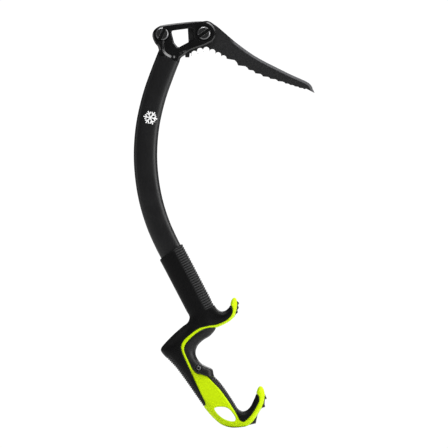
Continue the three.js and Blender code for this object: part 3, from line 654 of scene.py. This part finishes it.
class ShaftLine:
    """The tube's middle line, measured by the distance down it."""

    def __init__(self):
        self.points = smooth(SHAFT_LINE, 60)
        steps = np.linalg.norm(np.diff(self.points, axis=0), axis=1)
        self.distances = np.concatenate([[0], np.cumsum(steps)])
        self.length = self.distances[-1]
        self.tangents = np.gradient(self.points, self.distances, axis=0)

    def place(self, distance):
        """The middle point and the sideways direction there; past its ends the line runs straight."""
        inside = np.clip(distance, 0, self.length)
        point, along = (
            np.array([np.interp(inside, self.distances, column) for column in table.T])
            for table in (self.points, self.tangents)
        )
        along = unit(along)
        return point + along * (distance - inside), np.array([-along[1], along[0]])

    def rings(self, start, end, count, growth=0.0):
        """Sections of the tube between two distances, wider and deeper than the tube by the growth."""
        rings = []
        for distance in np.linspace(start, end, count):
            middle, side = self.place(distance)
            reach = side * (SHAFT_WIDTH + growth) / 2
            rings.append(section(middle + reach, middle - reach, SHAFT_DEPTH + growth, SHAFT_POWER))
        return np.array(rings)

    def measure(self, points):
        """For each point: the distance down the line and how far off it, to the pick's side."""
        flat = points[:, (0, 2)]
        nearest = np.full(len(flat), np.inf)
        down, across = np.zeros(len(flat)), np.zeros(len(flat))
        spots, marks = self.points[::6], self.distances[::6]
        for spot, following, mark in zip(spots, spots[1:], marks):
            along = unit(following - spot)
            share = (flat - spot) @ along
            inside = np.clip(share, 0, np.linalg.norm(following - spot))
            away = np.linalg.norm(flat - spot - inside[:, None] * along, axis=1)
            nearer = away < nearest
            nearest[nearer] = away[nearer]
            down[nearer] = mark + share[nearer]
            across[nearer] = (flat - spot)[nearer] @ [-along[1], along[0]]
        return down, across


SHAFT = ShaftLine()
SLEEVE_END = SHAFT.length + SLEEVE_LAP


def build_shaft():
    """The tube, with a small rolled edge at its top end."""
    roll = 0.3
    outer = SHAFT.rings(0, SHAFT.length, 260)
    lip = SHAFT.rings(0, 0, 1, -2 * roll)
    outer[0] = SHAFT.rings(roll, roll, 1)[0]
    inner = SHAFT.rings(0, SHAFT.length, 120, -2 * SHAFT_WALL)[::-1]
    tube = loft("shaft_tube", np.concatenate([lip, outer, inner]), joined=True)
    finished(shaded(tube, 50), "shaft_black", ["shaft"])


# ---- handle
RIB_PITCH, RIB_HEIGHT, RIB_COUNT = 3.1, 0.75, 27
RIB_FIRST = 63.0  # distance of the first rib above the tube's lower end
SERRATION_PITCH, SERRATION_HEIGHT = 2.6, 0.9
STRIP_RIB_PITCH, STRIP_RIB_HEIGHT, STRIP_RIBBED = 2.5, 0.6, 55.0
HANDLE_GRID = 0.42
POMMEL_CREASE = (-12, 141)  # where the sleeve, the palm and the upper pommel run into each other
POMMEL_TIPS = [(13, 159.5), (45, 51)]
CHEEK = 11.2  # half of the thickness of the lower handle's flat cheeks
CORE_GRID, CORE_DROP = 0.8, 1.0
PLATE_GRID, PICK_GRID, BOLT_GRID = 0.22, 0.3, 0.2


def wave(distance, pitch, sharpness=2.4):
    """Rounded bars at an even pitch, from 0 in the gaps to 1 on the bars."""
    return 0.5 + 0.5 * np.tanh(sharpness * np.cos(2 * math.pi * distance / pitch)) / math.tanh(sharpness)


def station_rings(stations, per_span):
    stations = np.array(stations, float)
    edge_a = smooth(stations[:, :2], per_span)
    edge_b = smooth(stations[:, 2:4], per_span)
    depth = np.interp(np.arange(len(edge_a)) / per_span, np.arange(len(stations)), stations[:, 4])
    softened = np.convolve(np.pad(depth, per_span, mode="edge"), np.ones(per_span) / per_span, "same")
    depth = np.minimum(softened[per_span:-per_span], depth + 0.3)
    return [section(a, b, d, HANDLE_POWER) for a, b, d in zip(edge_a, edge_b, depth)]


def bell(points, centre, reach):
    """1 at a place in the XZ plane, and less the further off, with a bell-shaped fall."""
    return np.exp(-(off_axis(points, centre) ** 2) / (2 * reach**2))


def handle_form():
    """The handle's whole form, sleeve included, as one even skin."""
    sleeve = SHAFT.rings(SLEEVE_END - SLEEVE_LENGTH, SLEEVE_END + 3, 60, SLEEVE_GROWTH)
    form = loft("handle_form", station_rings(HANDLE_STATIONS, 6))
    plus(form, loft("pommel", station_rings(POMMEL_STATIONS, 8)), loft("sleeve", sleeve))
    remeshed(form, HANDLE_GRID)
    points = points_of(form)
    relaxed(form, 320, np.clip(1.5 * bell(points, POMMEL_CREASE, 8.0), 0, 1))
    for tip in POMMEL_TIPS:
        relaxed(form, 60, bell(points, tip, 4.0))
    return relaxed(form, 4)


PALM_LINE = smooth(PALM_PARTING)
SPACER_LINE = smooth(SPACER_PARTING)
STRIP_LINE = smooth(STRIP_PARTING)
EYE_LINE = smooth(EYE, closed=True)
BORDER = np.array([(-20.8, 63), (-18, 62.1), (-12, 62.9)])  # between the spacer and the strip
PALM_BACK = smooth([(-77.3, 93), *[station[2:4] for station in HANDLE_STATIONS[9:15]], (-26.5, 27.2)])
STRIP_FRONT = smooth([(-13.5, 66), *[station[:2] for station in HANDLE_STATIONS[13:20]]])


def parting_distance(points):
    """Each point's distance to the nearest border of the lime frame."""
    return np.minimum.reduce([line_distance(points, line) for line in (PALM_LINE, SPACER_LINE, STRIP_LINE)])


def sleeve_ribs(points):
    """Bars across the front of the sleeve, and the zone that they fade out from."""
    down, across = SHAFT.measure(points)
    start = SHAFT.length - RIB_FIRST
    end = start + RIB_COUNT * RIB_PITCH
    run = fade(down, start - 0.6, start + 0.4) * fade(down, end + 0.4, end - 0.6)
    return wave(down - start, RIB_PITCH), run * fade(across, 2.5, 7.0)


def palm_serrations(points):
    """Notches across the rear edge of the palm, deepest on the edge itself."""
    reached, away = along_line(points, PALM_BACK)
    run = fade(reached, 8, 12)
    return wave(reached, SERRATION_PITCH), run * fade(away, 6.5, 2.5)


def strip_ribs(points):
    """Bars across the front of the lower grip."""
    reached, away = along_line(points, STRIP_FRONT)
    run = fade(reached, 3.0, 5.0) * fade(reached, STRIP_RIBBED, STRIP_RIBBED - 4)
    return wave(reached, STRIP_RIB_PITCH), run * fade(away, 7.0, 5.0)


def soft_form(form):
    """The form of the rubber and the spacer: ribs, and edges that roll down to the frame."""
    made = copied(form, "soft_form")
    points = points_of(made)
    height, crest_sheen = np.zeros(len(points)), np.zeros(len(points))
    for ribs, size in ((sleeve_ribs, RIB_HEIGHT), (palm_serrations, SERRATION_HEIGHT),
                       (strip_ribs, STRIP_RIB_HEIGHT)):
        bars, zone = ribs(points)
        height += size * (bars - 1) * zone
        crest_sheen = np.maximum(crest_sheen, bars * zone)
    # painted highlight: the crests of the ribs and serrations are marked, for the rubber to paint them
    # lighter
    attribute(made, "bare_metal_and_sheen", crest_sheen)
    height -= shoulder(parting_distance(points), 1.5, 0.9)
    height -= shoulder(line_distance(points, BORDER), 0.7, 0.5)
    return raised(made, height)


def flattened(obj, cheek):
    """Flattens both sides of the lower handle to cheeks at the given Y, with a soft edge."""
    points = points_of(obj)
    size = np.abs(points[:, 1])
    flat = cheek - np.log1p(np.exp((cheek - size) * 4)) / 4
    size += fade(points[:, 2], 78, 60) * (flat - size)
    points[:, 1] = np.sign(points[:, 1]) * size
    return set_points(obj, points)


def frame_form(form):
    """The form of the frame: flat cheeks, and bevels along its borders and its eye."""
    made = flattened(copied(form, "frame_form"), CHEEK)
    points = points_of(made)
    edges = parting_distance(points)
    eye = line_distance(points, EYE_LINE, closed=True)
    height = 0.1 - shoulder(edges, 1.3, 0.6, 1.0) - shoulder(eye, 1.0, 0.7, 1.3)
    # painted shade: the frame is marked darker near its parting lines and round its eye, where the grooves
    # lie in shadow
    attribute(made, "painted_shade", np.maximum(fade(edges, 0.7, 0.2), 0.5 * fade(eye, 0.9, 0.1)))
    return raised(made, height)


def kept(obj, line, *around):
    """Cuts a piece down to what lies inside a parting line and the points that close it outside."""
    outline = np.vstack([line, *[np.reshape(p, (-1, 2)) for p in around]])
    return joined(obj, prism("region", outline), "INTERSECT")


# Points clear of every moulding, which close the parting lines' outlines.
ABOVE_POMMEL = [(-10, 190), (2, 156)]
BESIDE_POMMEL = (0, 116)
BESIDE_STRIP = (-4, 66)
BESIDE_LOWER_TIP = (34, 45)


def beyond(name, distance, reach):
    """Everything below the tube's cross plane at a distance down it, or above it for a negative reach."""
    middle, side = SHAFT.place(distance)
    down = np.array([side[1], -side[0]]) * reach
    left, right = middle + side * FAR, middle - side * FAR
    return prism(name, [left, right, right + down, left + down])


def below_sleeve():
    return beyond("below", SLEEVE_END, 5 * FAR)


def build_core(form):
    """The frame's inner web, which the mouldings sit on: it shows only as the floor of their seams."""
    core = remeshed(flattened(relaxed(copied(form, "handle_core"), 6), CHEEK), CORE_GRID)
    raised(core, -CORE_DROP)
    joined(core, below_sleeve(), "INTERSECT")
    socket = SHAFT.rings(SHAFT.length - 60, SHAFT.length + 0.3, 30, 0.4)
    return less(core, loft("socket", socket), *screw_seat(0.3))


def build_sleeve(soft):
    """The ribbed sleeve, with a soft slanted edge at its top."""
    sleeve = copied(soft, "grip_sleeve")
    top = line_distance(points_of(sleeve), SLEEVE_TOP_EDGE)
    raised(sleeve, -shoulder(top, 1.4, 1.0))
    above = prism("above", [*SLEEVE_TOP_EDGE, (-40, 320), (-140, 320)])
    bore = loft("bore", SHAFT.rings(SLEEVE_END - SLEEVE_LENGTH - 5, SLEEVE_END + 5, 60, 0.3))
    less(sleeve, below_sleeve(), above, bore)
    finished(shaded(sleeve, 40), "rubber_black", ["upper_grip_sleeve"])


def build_palm(soft):
    """The rubber over the rear of the handle and the inside of the upper pommel."""
    palm = copied(soft, "palm_moulding")
    kept(palm, shifted(PALM_LINE, -SEAM), (-32, 19), (-120, 40), (-120, 190), *ABOVE_POMMEL)
    joined(palm, below_sleeve(), "INTERSECT")
    finished(shaded(palm, 40), "rubber_black", ["palm_grip"])


def build_front_grip(soft):
    """The ribbed strip down the front and round the inside of the lower pommel."""
    grip = copied(soft, "front_moulding")
    line = np.vstack([BORDER[:0:-1], STRIP_LINE])
    kept(grip, shifted(line, SEAM), BESIDE_LOWER_TIP, (30, 90), BESIDE_STRIP)
    finished(shaded(grip, 40), "rubber_black", ["front_grip"])


def centre_of(node_name):
    """A round CAD node's middle in the XZ plane, its radius, and its Y range."""
    low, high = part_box(node_name)
    centre = np.array([(low.x + high.x) / 2, (low.z + high.z) / 2]) / MM
    return centre, (high.z - low.z) / 2 / MM, low.y / MM, high.y / MM


SCREW_SEAT, SCREW_FLOOR, SCREW_POCKET, SCREW_BORE = 4.3, 8.5, 7.6, 2.3
SCREW_HOLE, SCREW_NUT = 2.2, 7.0


def screw_seat(extra=0.0):
    """Cutters for the screw's seat in front, its nut's pocket behind and the bore between."""
    centre, *_ = centre_of("spacer_screw")
    pocket = polygon(centre, SCREW_POCKET / math.sqrt(3) + extra, 6)
    return [
        round_bar("seat", centre, SCREW_SEAT + extra, -FAR, -SCREW_FLOOR + extra),
        prism("pocket", pocket, SCREW_FLOOR - extra, FAR),
        round_bar("bore", centre, SCREW_BORE, sides=32),
    ]


def build_spacer(soft):
    """The hard piece in the finger recess, with the screw's seat and the rolled edge round it."""
    spacer = copied(soft, "finger_piece")
    centre, *_ = centre_of("spacer_screw")
    away = off_axis(points_of(spacer), centre)
    raised(spacer, -shoulder(np.abs(away - SCREW_SEAT), 0.9, 0.5))
    line = np.vstack([SPACER_LINE, BORDER[1:]])
    kept(spacer, shifted(line, SEAM), BESIDE_STRIP, (40, 90), (40, 112), BESIDE_POMMEL)
    less(spacer, *screw_seat())
    finished(shaded(spacer, 40), "spacer_black", ["finger_spacer"])


def build_frame(lime, core):
    """The lime shell: the stripe, the lower cheeks with their eye and both pommels, over the web."""
    shell = copied(lime, "handle_shell")
    front = np.vstack([SPACER_LINE, STRIP_LINE[1:]])
    kept(shell, shifted(PALM_LINE, LIME_SEAM), (-32, 19), (-32, -20), (90, -20), (90, 75), (36, 75),
         BESIDE_LOWER_TIP, shifted(front, -LIME_SEAM)[::-1], BESIDE_POMMEL, (90, 130), (90, 190),
         *ABOVE_POMMEL)
    # painted shade: the whole web is marked dark olive, as the shadowed floor of the grooves between the
    # mouldings
    attribute(core, "painted_shade", 1)
    plus(shell, core)
    less(shell, prism("eye", EYE_LINE))
    finished(shaded(shell, 40), "frame_lime", ["handle_frame"])


def build_plates():
    """The tooth plate of the upper pommel and the spike plate of the lower one, worn at the tips."""
    for name, node_name, outline, half in (
        ("tooth_plate", "upper_tooth_plate", TOOTH_PLATE, TOOTH_PLATE_DEPTH / 2),
        ("spike_plate", "lower_spike_plate", SPIKE_PLATE, SPIKE_PLATE_DEPTH / 2),
    ):
        plate = remeshed(prism(name, outline, -half, half), PLATE_GRID)
        points = points_of(plate)
        rim = line_distance(points, outline, closed=True)
        attribute(plate, "bare_metal_and_sheen", fade(rim, 0.9, 0.2) * fade(np.abs(points[:, 1]), half - 0.5, half))
        relaxed(plate, 3)
        finished(shaded(plate), "spike_black", [node_name])


def build_pins():
    """The cross pins that hold the plates, each with a domed end."""
    for name, node_name in (("upper_pin", "upper_plate_pin"), ("lower_pin", "lower_plate_pin")):
        centre, radius, low, high = centre_of(node_name)
        pin = turned(name, centre, [
            (radius * 0.4, low), (radius * 0.8, low + 0.15), (radius, low + 0.5), (radius, high - 0.5),
            (radius * 0.8, high - 0.15), (radius * 0.4, high),
        ], 48)
        attribute(pin, "bare_metal_and_sheen", 0.4)
        finished(shaded(pin, 40), "bare_steel", [node_name])


# ---- head
WINDOW_CORNER = 2.4
BOLT_SEAT, BOLT_HOLE, BOLT_SLOT, SLOT_DEPTH, NUT_BODY = 8.8, 4.3, 4.0, 1.7, 5.8


def rounded(outline, radius, steps=6):
    """An outline with every corner turned into an arc."""
    outline = anticlockwise(outline)
    points = []
    for before, corner, after in zip(np.roll(outline, 1, 0), outline, np.roll(outline, -1, 0)):
        into, out = unit(before - corner), unit(after - corner)
        half = math.acos(into @ out) / 2
        reach = radius / math.tan(half)
        middle = corner + unit(into + out) * radius / math.sin(half)
        for share in np.linspace(0, 1, steps + 1):
            spot = corner + reach * (into * (1 - share) + out * share)
            points.append(middle + unit(spot - middle) * radius)
    return np.array(points)


def head_outline():
    pick_bolt, *_ = centre_of("pick_bolt")
    lobe = arc(pick_bolt, FRONT_LOBE_RADIUS, *FRONT_LOBE_ANGLES, 40)
    return np.vstack([smooth(HEAD_TOP), lobe, smooth(HEAD_BELLY), HEAD_ROOT])


def collar_outline(inset=0.0):
    """The collar's outline, moved inwards: its corners are moved before its ramp is made smooth."""
    (top, side), (lower, _) = SHAFT.place(0), SHAFT.place(COLLAR_LAP)
    reach = side * SHAFT_WIDTH / 2
    before = np.vstack([lower + reach, top + reach, COLLAR_FRONT])
    corners = np.vstack([before, COLLAR_RAMP[::-1], COLLAR_REAR, lower - reach])
    corners = shifted(corners, inset, closed=True)
    start, end = len(before), len(before) + len(COLLAR_RAMP)
    return np.vstack([corners[:start], smooth(corners[start:end]), corners[end:]])


def build_head():
    """The casting: two cheeks around the pick, a window, bolt seats and a collar that meets the tube."""
    head = chamfered("head_body", head_outline(), CHEEK_DEPTH, CHEEK_CHAMFER)
    inner = collar_outline(COLLAR_CHAMFER)
    plus(head, chamfered("collar", collar_outline(), COLLAR_DEPTH, COLLAR_CHAMFER, inner))
    joined(head, beyond("above_tube", 0, -2 * FAR), "INTERSECT")
    spigot = SHAFT.rings(-3, 14, 6, -2 * SHAFT_WALL - 0.6)
    face = CHEEK_DEPTH / 2
    slot = PICK_DEPTH / 2 + 0.2
    window = rounded(HEAD_WINDOW, WINDOW_CORNER)
    tools = [prism("window", window)]
    tools += [prism("slot", outline, -slot, slot) for outline in (PICK_SLOT, REAR_SLOT)]
    for side in (-1, 1):
        tools.append(flared("window_edge", window, side * (face - 1.5), side * (face + 0.3), 1.8))
        for bolt in ("pick_bolt", "rear_bolt"):
            centre, *_ = centre_of(bolt)
            seat = polygon(centre, BOLT_SEAT, 72)
            tools.append(prism("seat", seat, side * 5, side * FAR))
            tools.append(flared("seat_edge", seat, side * (face - 0.5), side * (face + 0.3), 0.8))
    less(head, *tools)
    plus(head, loft("spigot", spigot))
    finished(bevelled(head, 0.4, 3, 24), "cast_black", ["head_casting"])


def teeth(tips):
    """Teeth that rake back towards the handle: each tip, then a rounded step up to the next run."""
    points = []
    for (ax, az), (bx, bz) in zip(tips, tips[1:]):
        points += [(ax + (bx - ax) * across, az + (bz - az) * up) for across, up in ((0.1, 0.45), (0.3, 0.8))]
        points.append((bx, bz))
    return points


def build_pick():
    """The pick: a toothed plate with its back ground to a thinner edge."""
    back = smooth(PICK_BACK)
    tips = [PICK_FINE_TIPS[0], *teeth(PICK_FINE_TIPS), *teeth(PICK_COARSE_TIPS)]
    outline = np.vstack([back, tips, PICK_CUSPS, PICK_TANG])
    half = PICK_DEPTH / 2
    pick = prism("pick_blade", outline, -half, half)
    less(pick, *[round_bar("scallop", centre, SCALLOP_RADIUS) for centre in SCALLOP_CENTRES])
    remeshed(pick, PICK_GRID)
    points = points_of(pick)
    away = line_distance(points, back[back[:, 0] > 2])
    bevel = shoulder(away, 3.0, 1.1, 1.0) * fade(points[:, 0], 4, 14)
    points[:, 1] *= 1 - bevel / half
    set_points(pick, points)
    relaxed(pick, 2)
    attribute(pick, "bare_metal_and_sheen", fade(away, 3.3, 2.9) * fade(points[:, 0], 6, 16))
    finished(shaded(pick), "pick_grey", ["pick"])


def build_rear_spacer():
    """The filler in the rear slot, a gap smaller than the slot all round."""
    gap = 0.4
    front, floor = REAR_SLOT[1] + np.array([-gap, gap])
    lobe = shifted(smooth(HEAD_TOP[1:7]), -gap)
    lobe = lobe[(lobe[:, 0] < front) & (lobe[:, 1] > floor + 0.1)]
    outline = np.vstack([(front, floor), lobe, (front, lobe[-1, 1])])
    spacer = prism("rear_slug", outline, -PICK_DEPTH / 2, PICK_DEPTH / 2)
    bevelled(spacer, 0.3, 3, 30)
    attribute(spacer, "bare_metal_and_sheen", 0)
    finished(shaded(spacer, 40), "pick_grey", ["rear_spacer"])


def heading(angle):
    """The unit direction at an angle in degrees."""
    return np.array([math.cos(math.radians(angle)), math.sin(math.radians(angle))])


def slotted(bolt, centre, face, angle):
    """A straight slot across a turned head, and its edges broken."""
    reach, across = heading(angle) * 20, heading(angle + 90) * BOLT_SLOT / 2
    corners = [centre + a * reach + b * across for a, b in ((1, 1), (-1, 1), (-1, -1), (1, -1))]
    less(bolt, prism("slot", corners, face - 5, face + SLOT_DEPTH))
    return relaxed(remeshed(bolt, BOLT_GRID), 2)


def radial_wear(obj, centre, inner, outer, face):
    """Wear on the rim of a head whose outer face is at a Y, and none in its socket."""
    points = points_of(obj)
    rim = fade(off_axis(points, centre), inner, outer)
    attribute(obj, "bare_metal_and_sheen", rim * fade(np.abs(points[:, 1] - face), 1.2, 0.9))


def bolt_wear_and_sheen(bolt, centre, radius, face, angle):
    """Bare metal on the rim, a bright line along the slot's edges that is a painted highlight of the slot's
    walls as well as wear, a little on the face, none in the slot.
    """
    points = points_of(bolt)
    across = np.abs((points[:, (0, 2)] - centre) @ heading(angle + 90))
    rim = fade(off_axis(points, centre), radius - 1.9, radius - 1.3)
    # painted highlight: the slot's edges are marked bright, as the light catching the slot's walls, on top of
    # their wear
    edge = fade(np.abs(across - BOLT_SLOT / 2), 0.5, 0.2)
    front = fade(points[:, 1] - face, 1.0, 0.5)
    top = fade(points[:, 1] - face, 0.45, 0.25)
    attribute(bolt, "bare_metal_and_sheen", np.maximum(rim * front, np.maximum(edge, 0.12) * top))


def build_washer(fastener, hole, sides, edge=0.0):
    """A washer, which moves with its fastener; the edge that shows may be broken."""
    centre, radius, low, high = centre_of(fastener + "_washer")
    rim = [(radius - edge, low), (radius, low + edge)] if edge else [(radius, low)]
    washer = turned(fastener + "_ring", centre, [(1, low), *rim, (radius, high), (1, high)], sides)
    less(washer, round_bar("hole", centre, hole))
    attribute(washer, "bare_metal_and_sheen", 0.1)
    finished(shaded(washer, 35), "bare_steel", [fastener + "_washer"], fastener + "_carrier")


def build_head_nut(bolt):
    """The flanged nut in the far cheek."""
    centre, radius, low, high = centre_of(bolt + "_nut")
    flange = high - 2.4
    nut = turned(bolt + "_cap", centre, [
        (1, low), (NUT_BODY, low), (NUT_BODY, flange), (radius, flange), (radius, high - 1.3),
        (radius - 0.4, high - 0.8), (radius - 1.5, high), (1, high),
    ])
    less(nut, round_bar("hole", centre, BOLT_HOLE))
    bevelled(nut, 0.2)
    radial_wear(nut, centre, radius - 2.2, radius - 1.3, high)
    finished(shaded(nut, 35), "bolt_black", [bolt + "_nut"])


def build_head_bolt(bolt, angle):
    """A slotted bolt, with its slot at an angle, its washer in front and its nut behind."""
    centre, radius, low, high = centre_of(bolt)
    under = low + 2.6
    made = turned(bolt + "_head", centre, [
        (0.5, low), (radius - 2.4, low), (radius - 1.6, low + 0.05), (radius - 0.3, low + 0.9),
        (radius, low + 1.4), (radius, under), (4, under), (4, high - 0.8), (3.2, high), (0.5, high),
    ])
    slotted(made, centre, low, angle)
    bolt_wear_and_sheen(made, centre, radius, low, angle)
    finished(shaded(made), "bolt_black", [bolt], bolt)
    build_washer(bolt, BOLT_HOLE, 72, 0.2)
    build_head_nut(bolt)


def build_spacer_screw():
    """The small socket screw of the finger piece, with its washer and its hexagon nut."""
    centre, radius, low, high = centre_of("spacer_screw")
    under = low + 2.4
    screw = turned("spacer_screw_head", centre, [
        (0.3, low), (radius - 0.9, low), (radius - 0.25, low + 0.35), (radius, low + 1), (radius, under),
        (2, under), (2, high - 0.5), (1.5, high), (0.3, high),
    ], 48)
    less(screw, prism("socket", polygon(centre, 1.5, 6), low - 5, low + 1.5))
    bevelled(screw, 0.12)
    radial_wear(screw, centre, 1.0, 1.5, low)
    finished(shaded(screw, 35), "bolt_black", ["spacer_screw"], "spacer_screw")
    build_washer("spacer_screw", SCREW_HOLE, 48)

    centre, _, low, high = centre_of("spacer_screw_nut")
    nut = prism("spacer_screw_cap", polygon(centre, SCREW_NUT / math.sqrt(3), 6), low, high)
    less(nut, round_bar("hole", centre, SCREW_HOLE))
    bevelled(nut, 0.25)
    attribute(nut, "bare_metal_and_sheen", 0.3)
    finished(shaded(nut, 35), "bare_steel", ["spacer_screw_nut"])


# ---- painted mark
MARK_AT, MARK_RADIUS, MARK_BAR = (-90.8, 381.0), 8.6, 1.5
MARK_STEPS = 14  # points along a bar, so that it follows the tube's side
MARK_LIFT, MARK_STEP = 0.05, 0.002
TWIG_FROM, TWIG_LENGTH, TWIG_TURN = 0.52, 0.42, 55


def shaft_side(points, lift):
    """Lays flat points onto the tube's side: their Y becomes the tube's own, plus a lift."""
    _, across = SHAFT.measure(np.insert(points, 1, 0, axis=1))
    inside = np.clip(1 - np.abs(2 * across / SHAFT_WIDTH) ** SHAFT_POWER, 0, 1)
    return SHAFT_DEPTH / 2 * inside ** (1 / SHAFT_POWER) + lift


def build_mark():
    """A plain six-armed snow crystal, printed on both sides of the tube."""
    down, _ = SHAFT.measure(np.array([[MARK_AT[0], 0, MARK_AT[1]]]))
    _, side = SHAFT.place(down[0])
    lean = math.degrees(math.atan2(side[1], side[0]))
    arms = [60 * k + lean for k in range(6)]
    bars = [(np.array(MARK_AT), MARK_RADIUS, arm) for arm in arms]
    for arm in arms:
        root = MARK_AT + MARK_RADIUS * TWIG_FROM * heading(arm)
        bars += [(root, MARK_RADIUS * TWIG_LENGTH, arm + turn) for turn in (-TWIG_TURN, TWIG_TURN)]
    points, faces = [], []
    for y_sign in (-1, 1):
        for level, (root, length, angle) in enumerate(bars):
            beside = heading(angle + 90) * MARK_BAR / 2
            first = len(points)
            for share in np.linspace(0, length, MARK_STEPS):
                spot = root + heading(angle) * share
                row = np.array([spot + beside, spot - beside])
                lift = MARK_LIFT + MARK_STEP * level
                points += [(x, y_sign * y, z) for (x, z), y in zip(row, shaft_side(row, lift))]
            faces += [(a, a + 1, a + 3, a + 2) for a in range(first, len(points) - 2, 2)]
    mark = new_object("shaft_mark", points, faces)
    finished(shaded(mark), "shaft_black", [], finish=mark_finish())


# ---- studio
FLOOR, FLOOR_LEVEL = 4000.0, -0.5
WORLD_LEVEL, BACKDROP_LEVEL = 0.12, 1.05
VIEW_SIZE, VIEW_FROM = 0.551, (-0.00025, -2.0, 0.2502)


def build_studio():
    """A bright backdrop that lights little, a pale floor and six soft boxes."""
    scene = bpy.context.scene
    scene.view_settings.view_transform = "Standard"
    world = bpy.data.worlds.new("studio")
    scene.world = world
    world.use_nodes = True
    seen = node(world, "LightPath").outputs["Is Camera Ray"]
    background = world.node_tree.nodes["Background"]
    background.inputs["Color"].default_value = (1, 1, 1, 1)
    level = mapped(world, seen, WORLD_LEVEL, BACKDROP_LEVEL)
    world.node_tree.links.new(level, background.inputs["Strength"])

    corners = [(-FLOOR, -FLOOR), (FLOOR, -FLOOR), (FLOOR, FLOOR), (-FLOOR, FLOOR)]
    floor = new_object("floor", [(x, y, FLOOR_LEVEL) for x, y in corners], [(0, 1, 2, 3)])
    floor.data.materials.append(material("floor_pale", (0.82, 0.82, 0.82), 0.7, 0.2))

    aim = Vector((0, 0, 0.26))
    for name, place_at, size, power in (
        ("key", (1.05, -0.25, 1.35), (0.5, 1.9), 24),
        ("over", (-0.25, -0.12, 1.7), (2.1, 0.3), 12),
        ("top", (-0.3, -0.8, 1.7), (0.9, 0.5), 13),
        ("side", (1.4, -0.65, 0.35), (0.5, 0.6), 9),
        ("left", (-1.4, -0.1, 0.3), (0.3, 1.2), 2.2),
        ("back", (0.5, 1.6, 1.2), (1.2, 0.8), 16),
    ):
        data = bpy.data.lights.new(name, "AREA")
        data.shape = "RECTANGLE"
        data.size, data.size_y = size
        data.energy = power
        lamp = bpy.data.objects.new(name, data)
        lamp.location = place_at
        lamp.rotation_euler = (aim - lamp.location).to_track_quat("-Z", "Y").to_euler()
        scene.collection.objects.link(lamp)


def build_camera():
    """An orthographic view, straight at the side."""
    scene = bpy.context.scene
    data = bpy.data.cameras.new("camera")
    data.type = "ORTHO"
    data.ortho_scale = VIEW_SIZE
    scene.camera = bpy.data.objects.new("camera", data)
    scene.camera.location = VIEW_FROM
    scene.camera.rotation_euler = (math.pi / 2, 0, 0)
    scene.collection.objects.link(scene.camera)


# ---- the axe
build_camera()
build_studio()
build_shaft()
build_mark()
form = handle_form()
soft = soft_form(form)
lime = frame_form(form)
build_sleeve(soft)
build_palm(soft)
build_front_grip(soft)
build_spacer(soft)
build_frame(lime, build_core(form))
for rough in (form, soft, lime):
    bpy.data.objects.remove(rough)
build_plates()
build_pins()
build_spacer_screw()
build_head()
build_pick()
build_rear_spacer()
build_head_bolt("pick_bolt", 34)
build_head_bolt("rear_bolt", 65)
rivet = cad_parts["frame_rivet"]
rivet.data.materials.clear()
rivet.data.materials.append(FINISHES["bare_steel"])
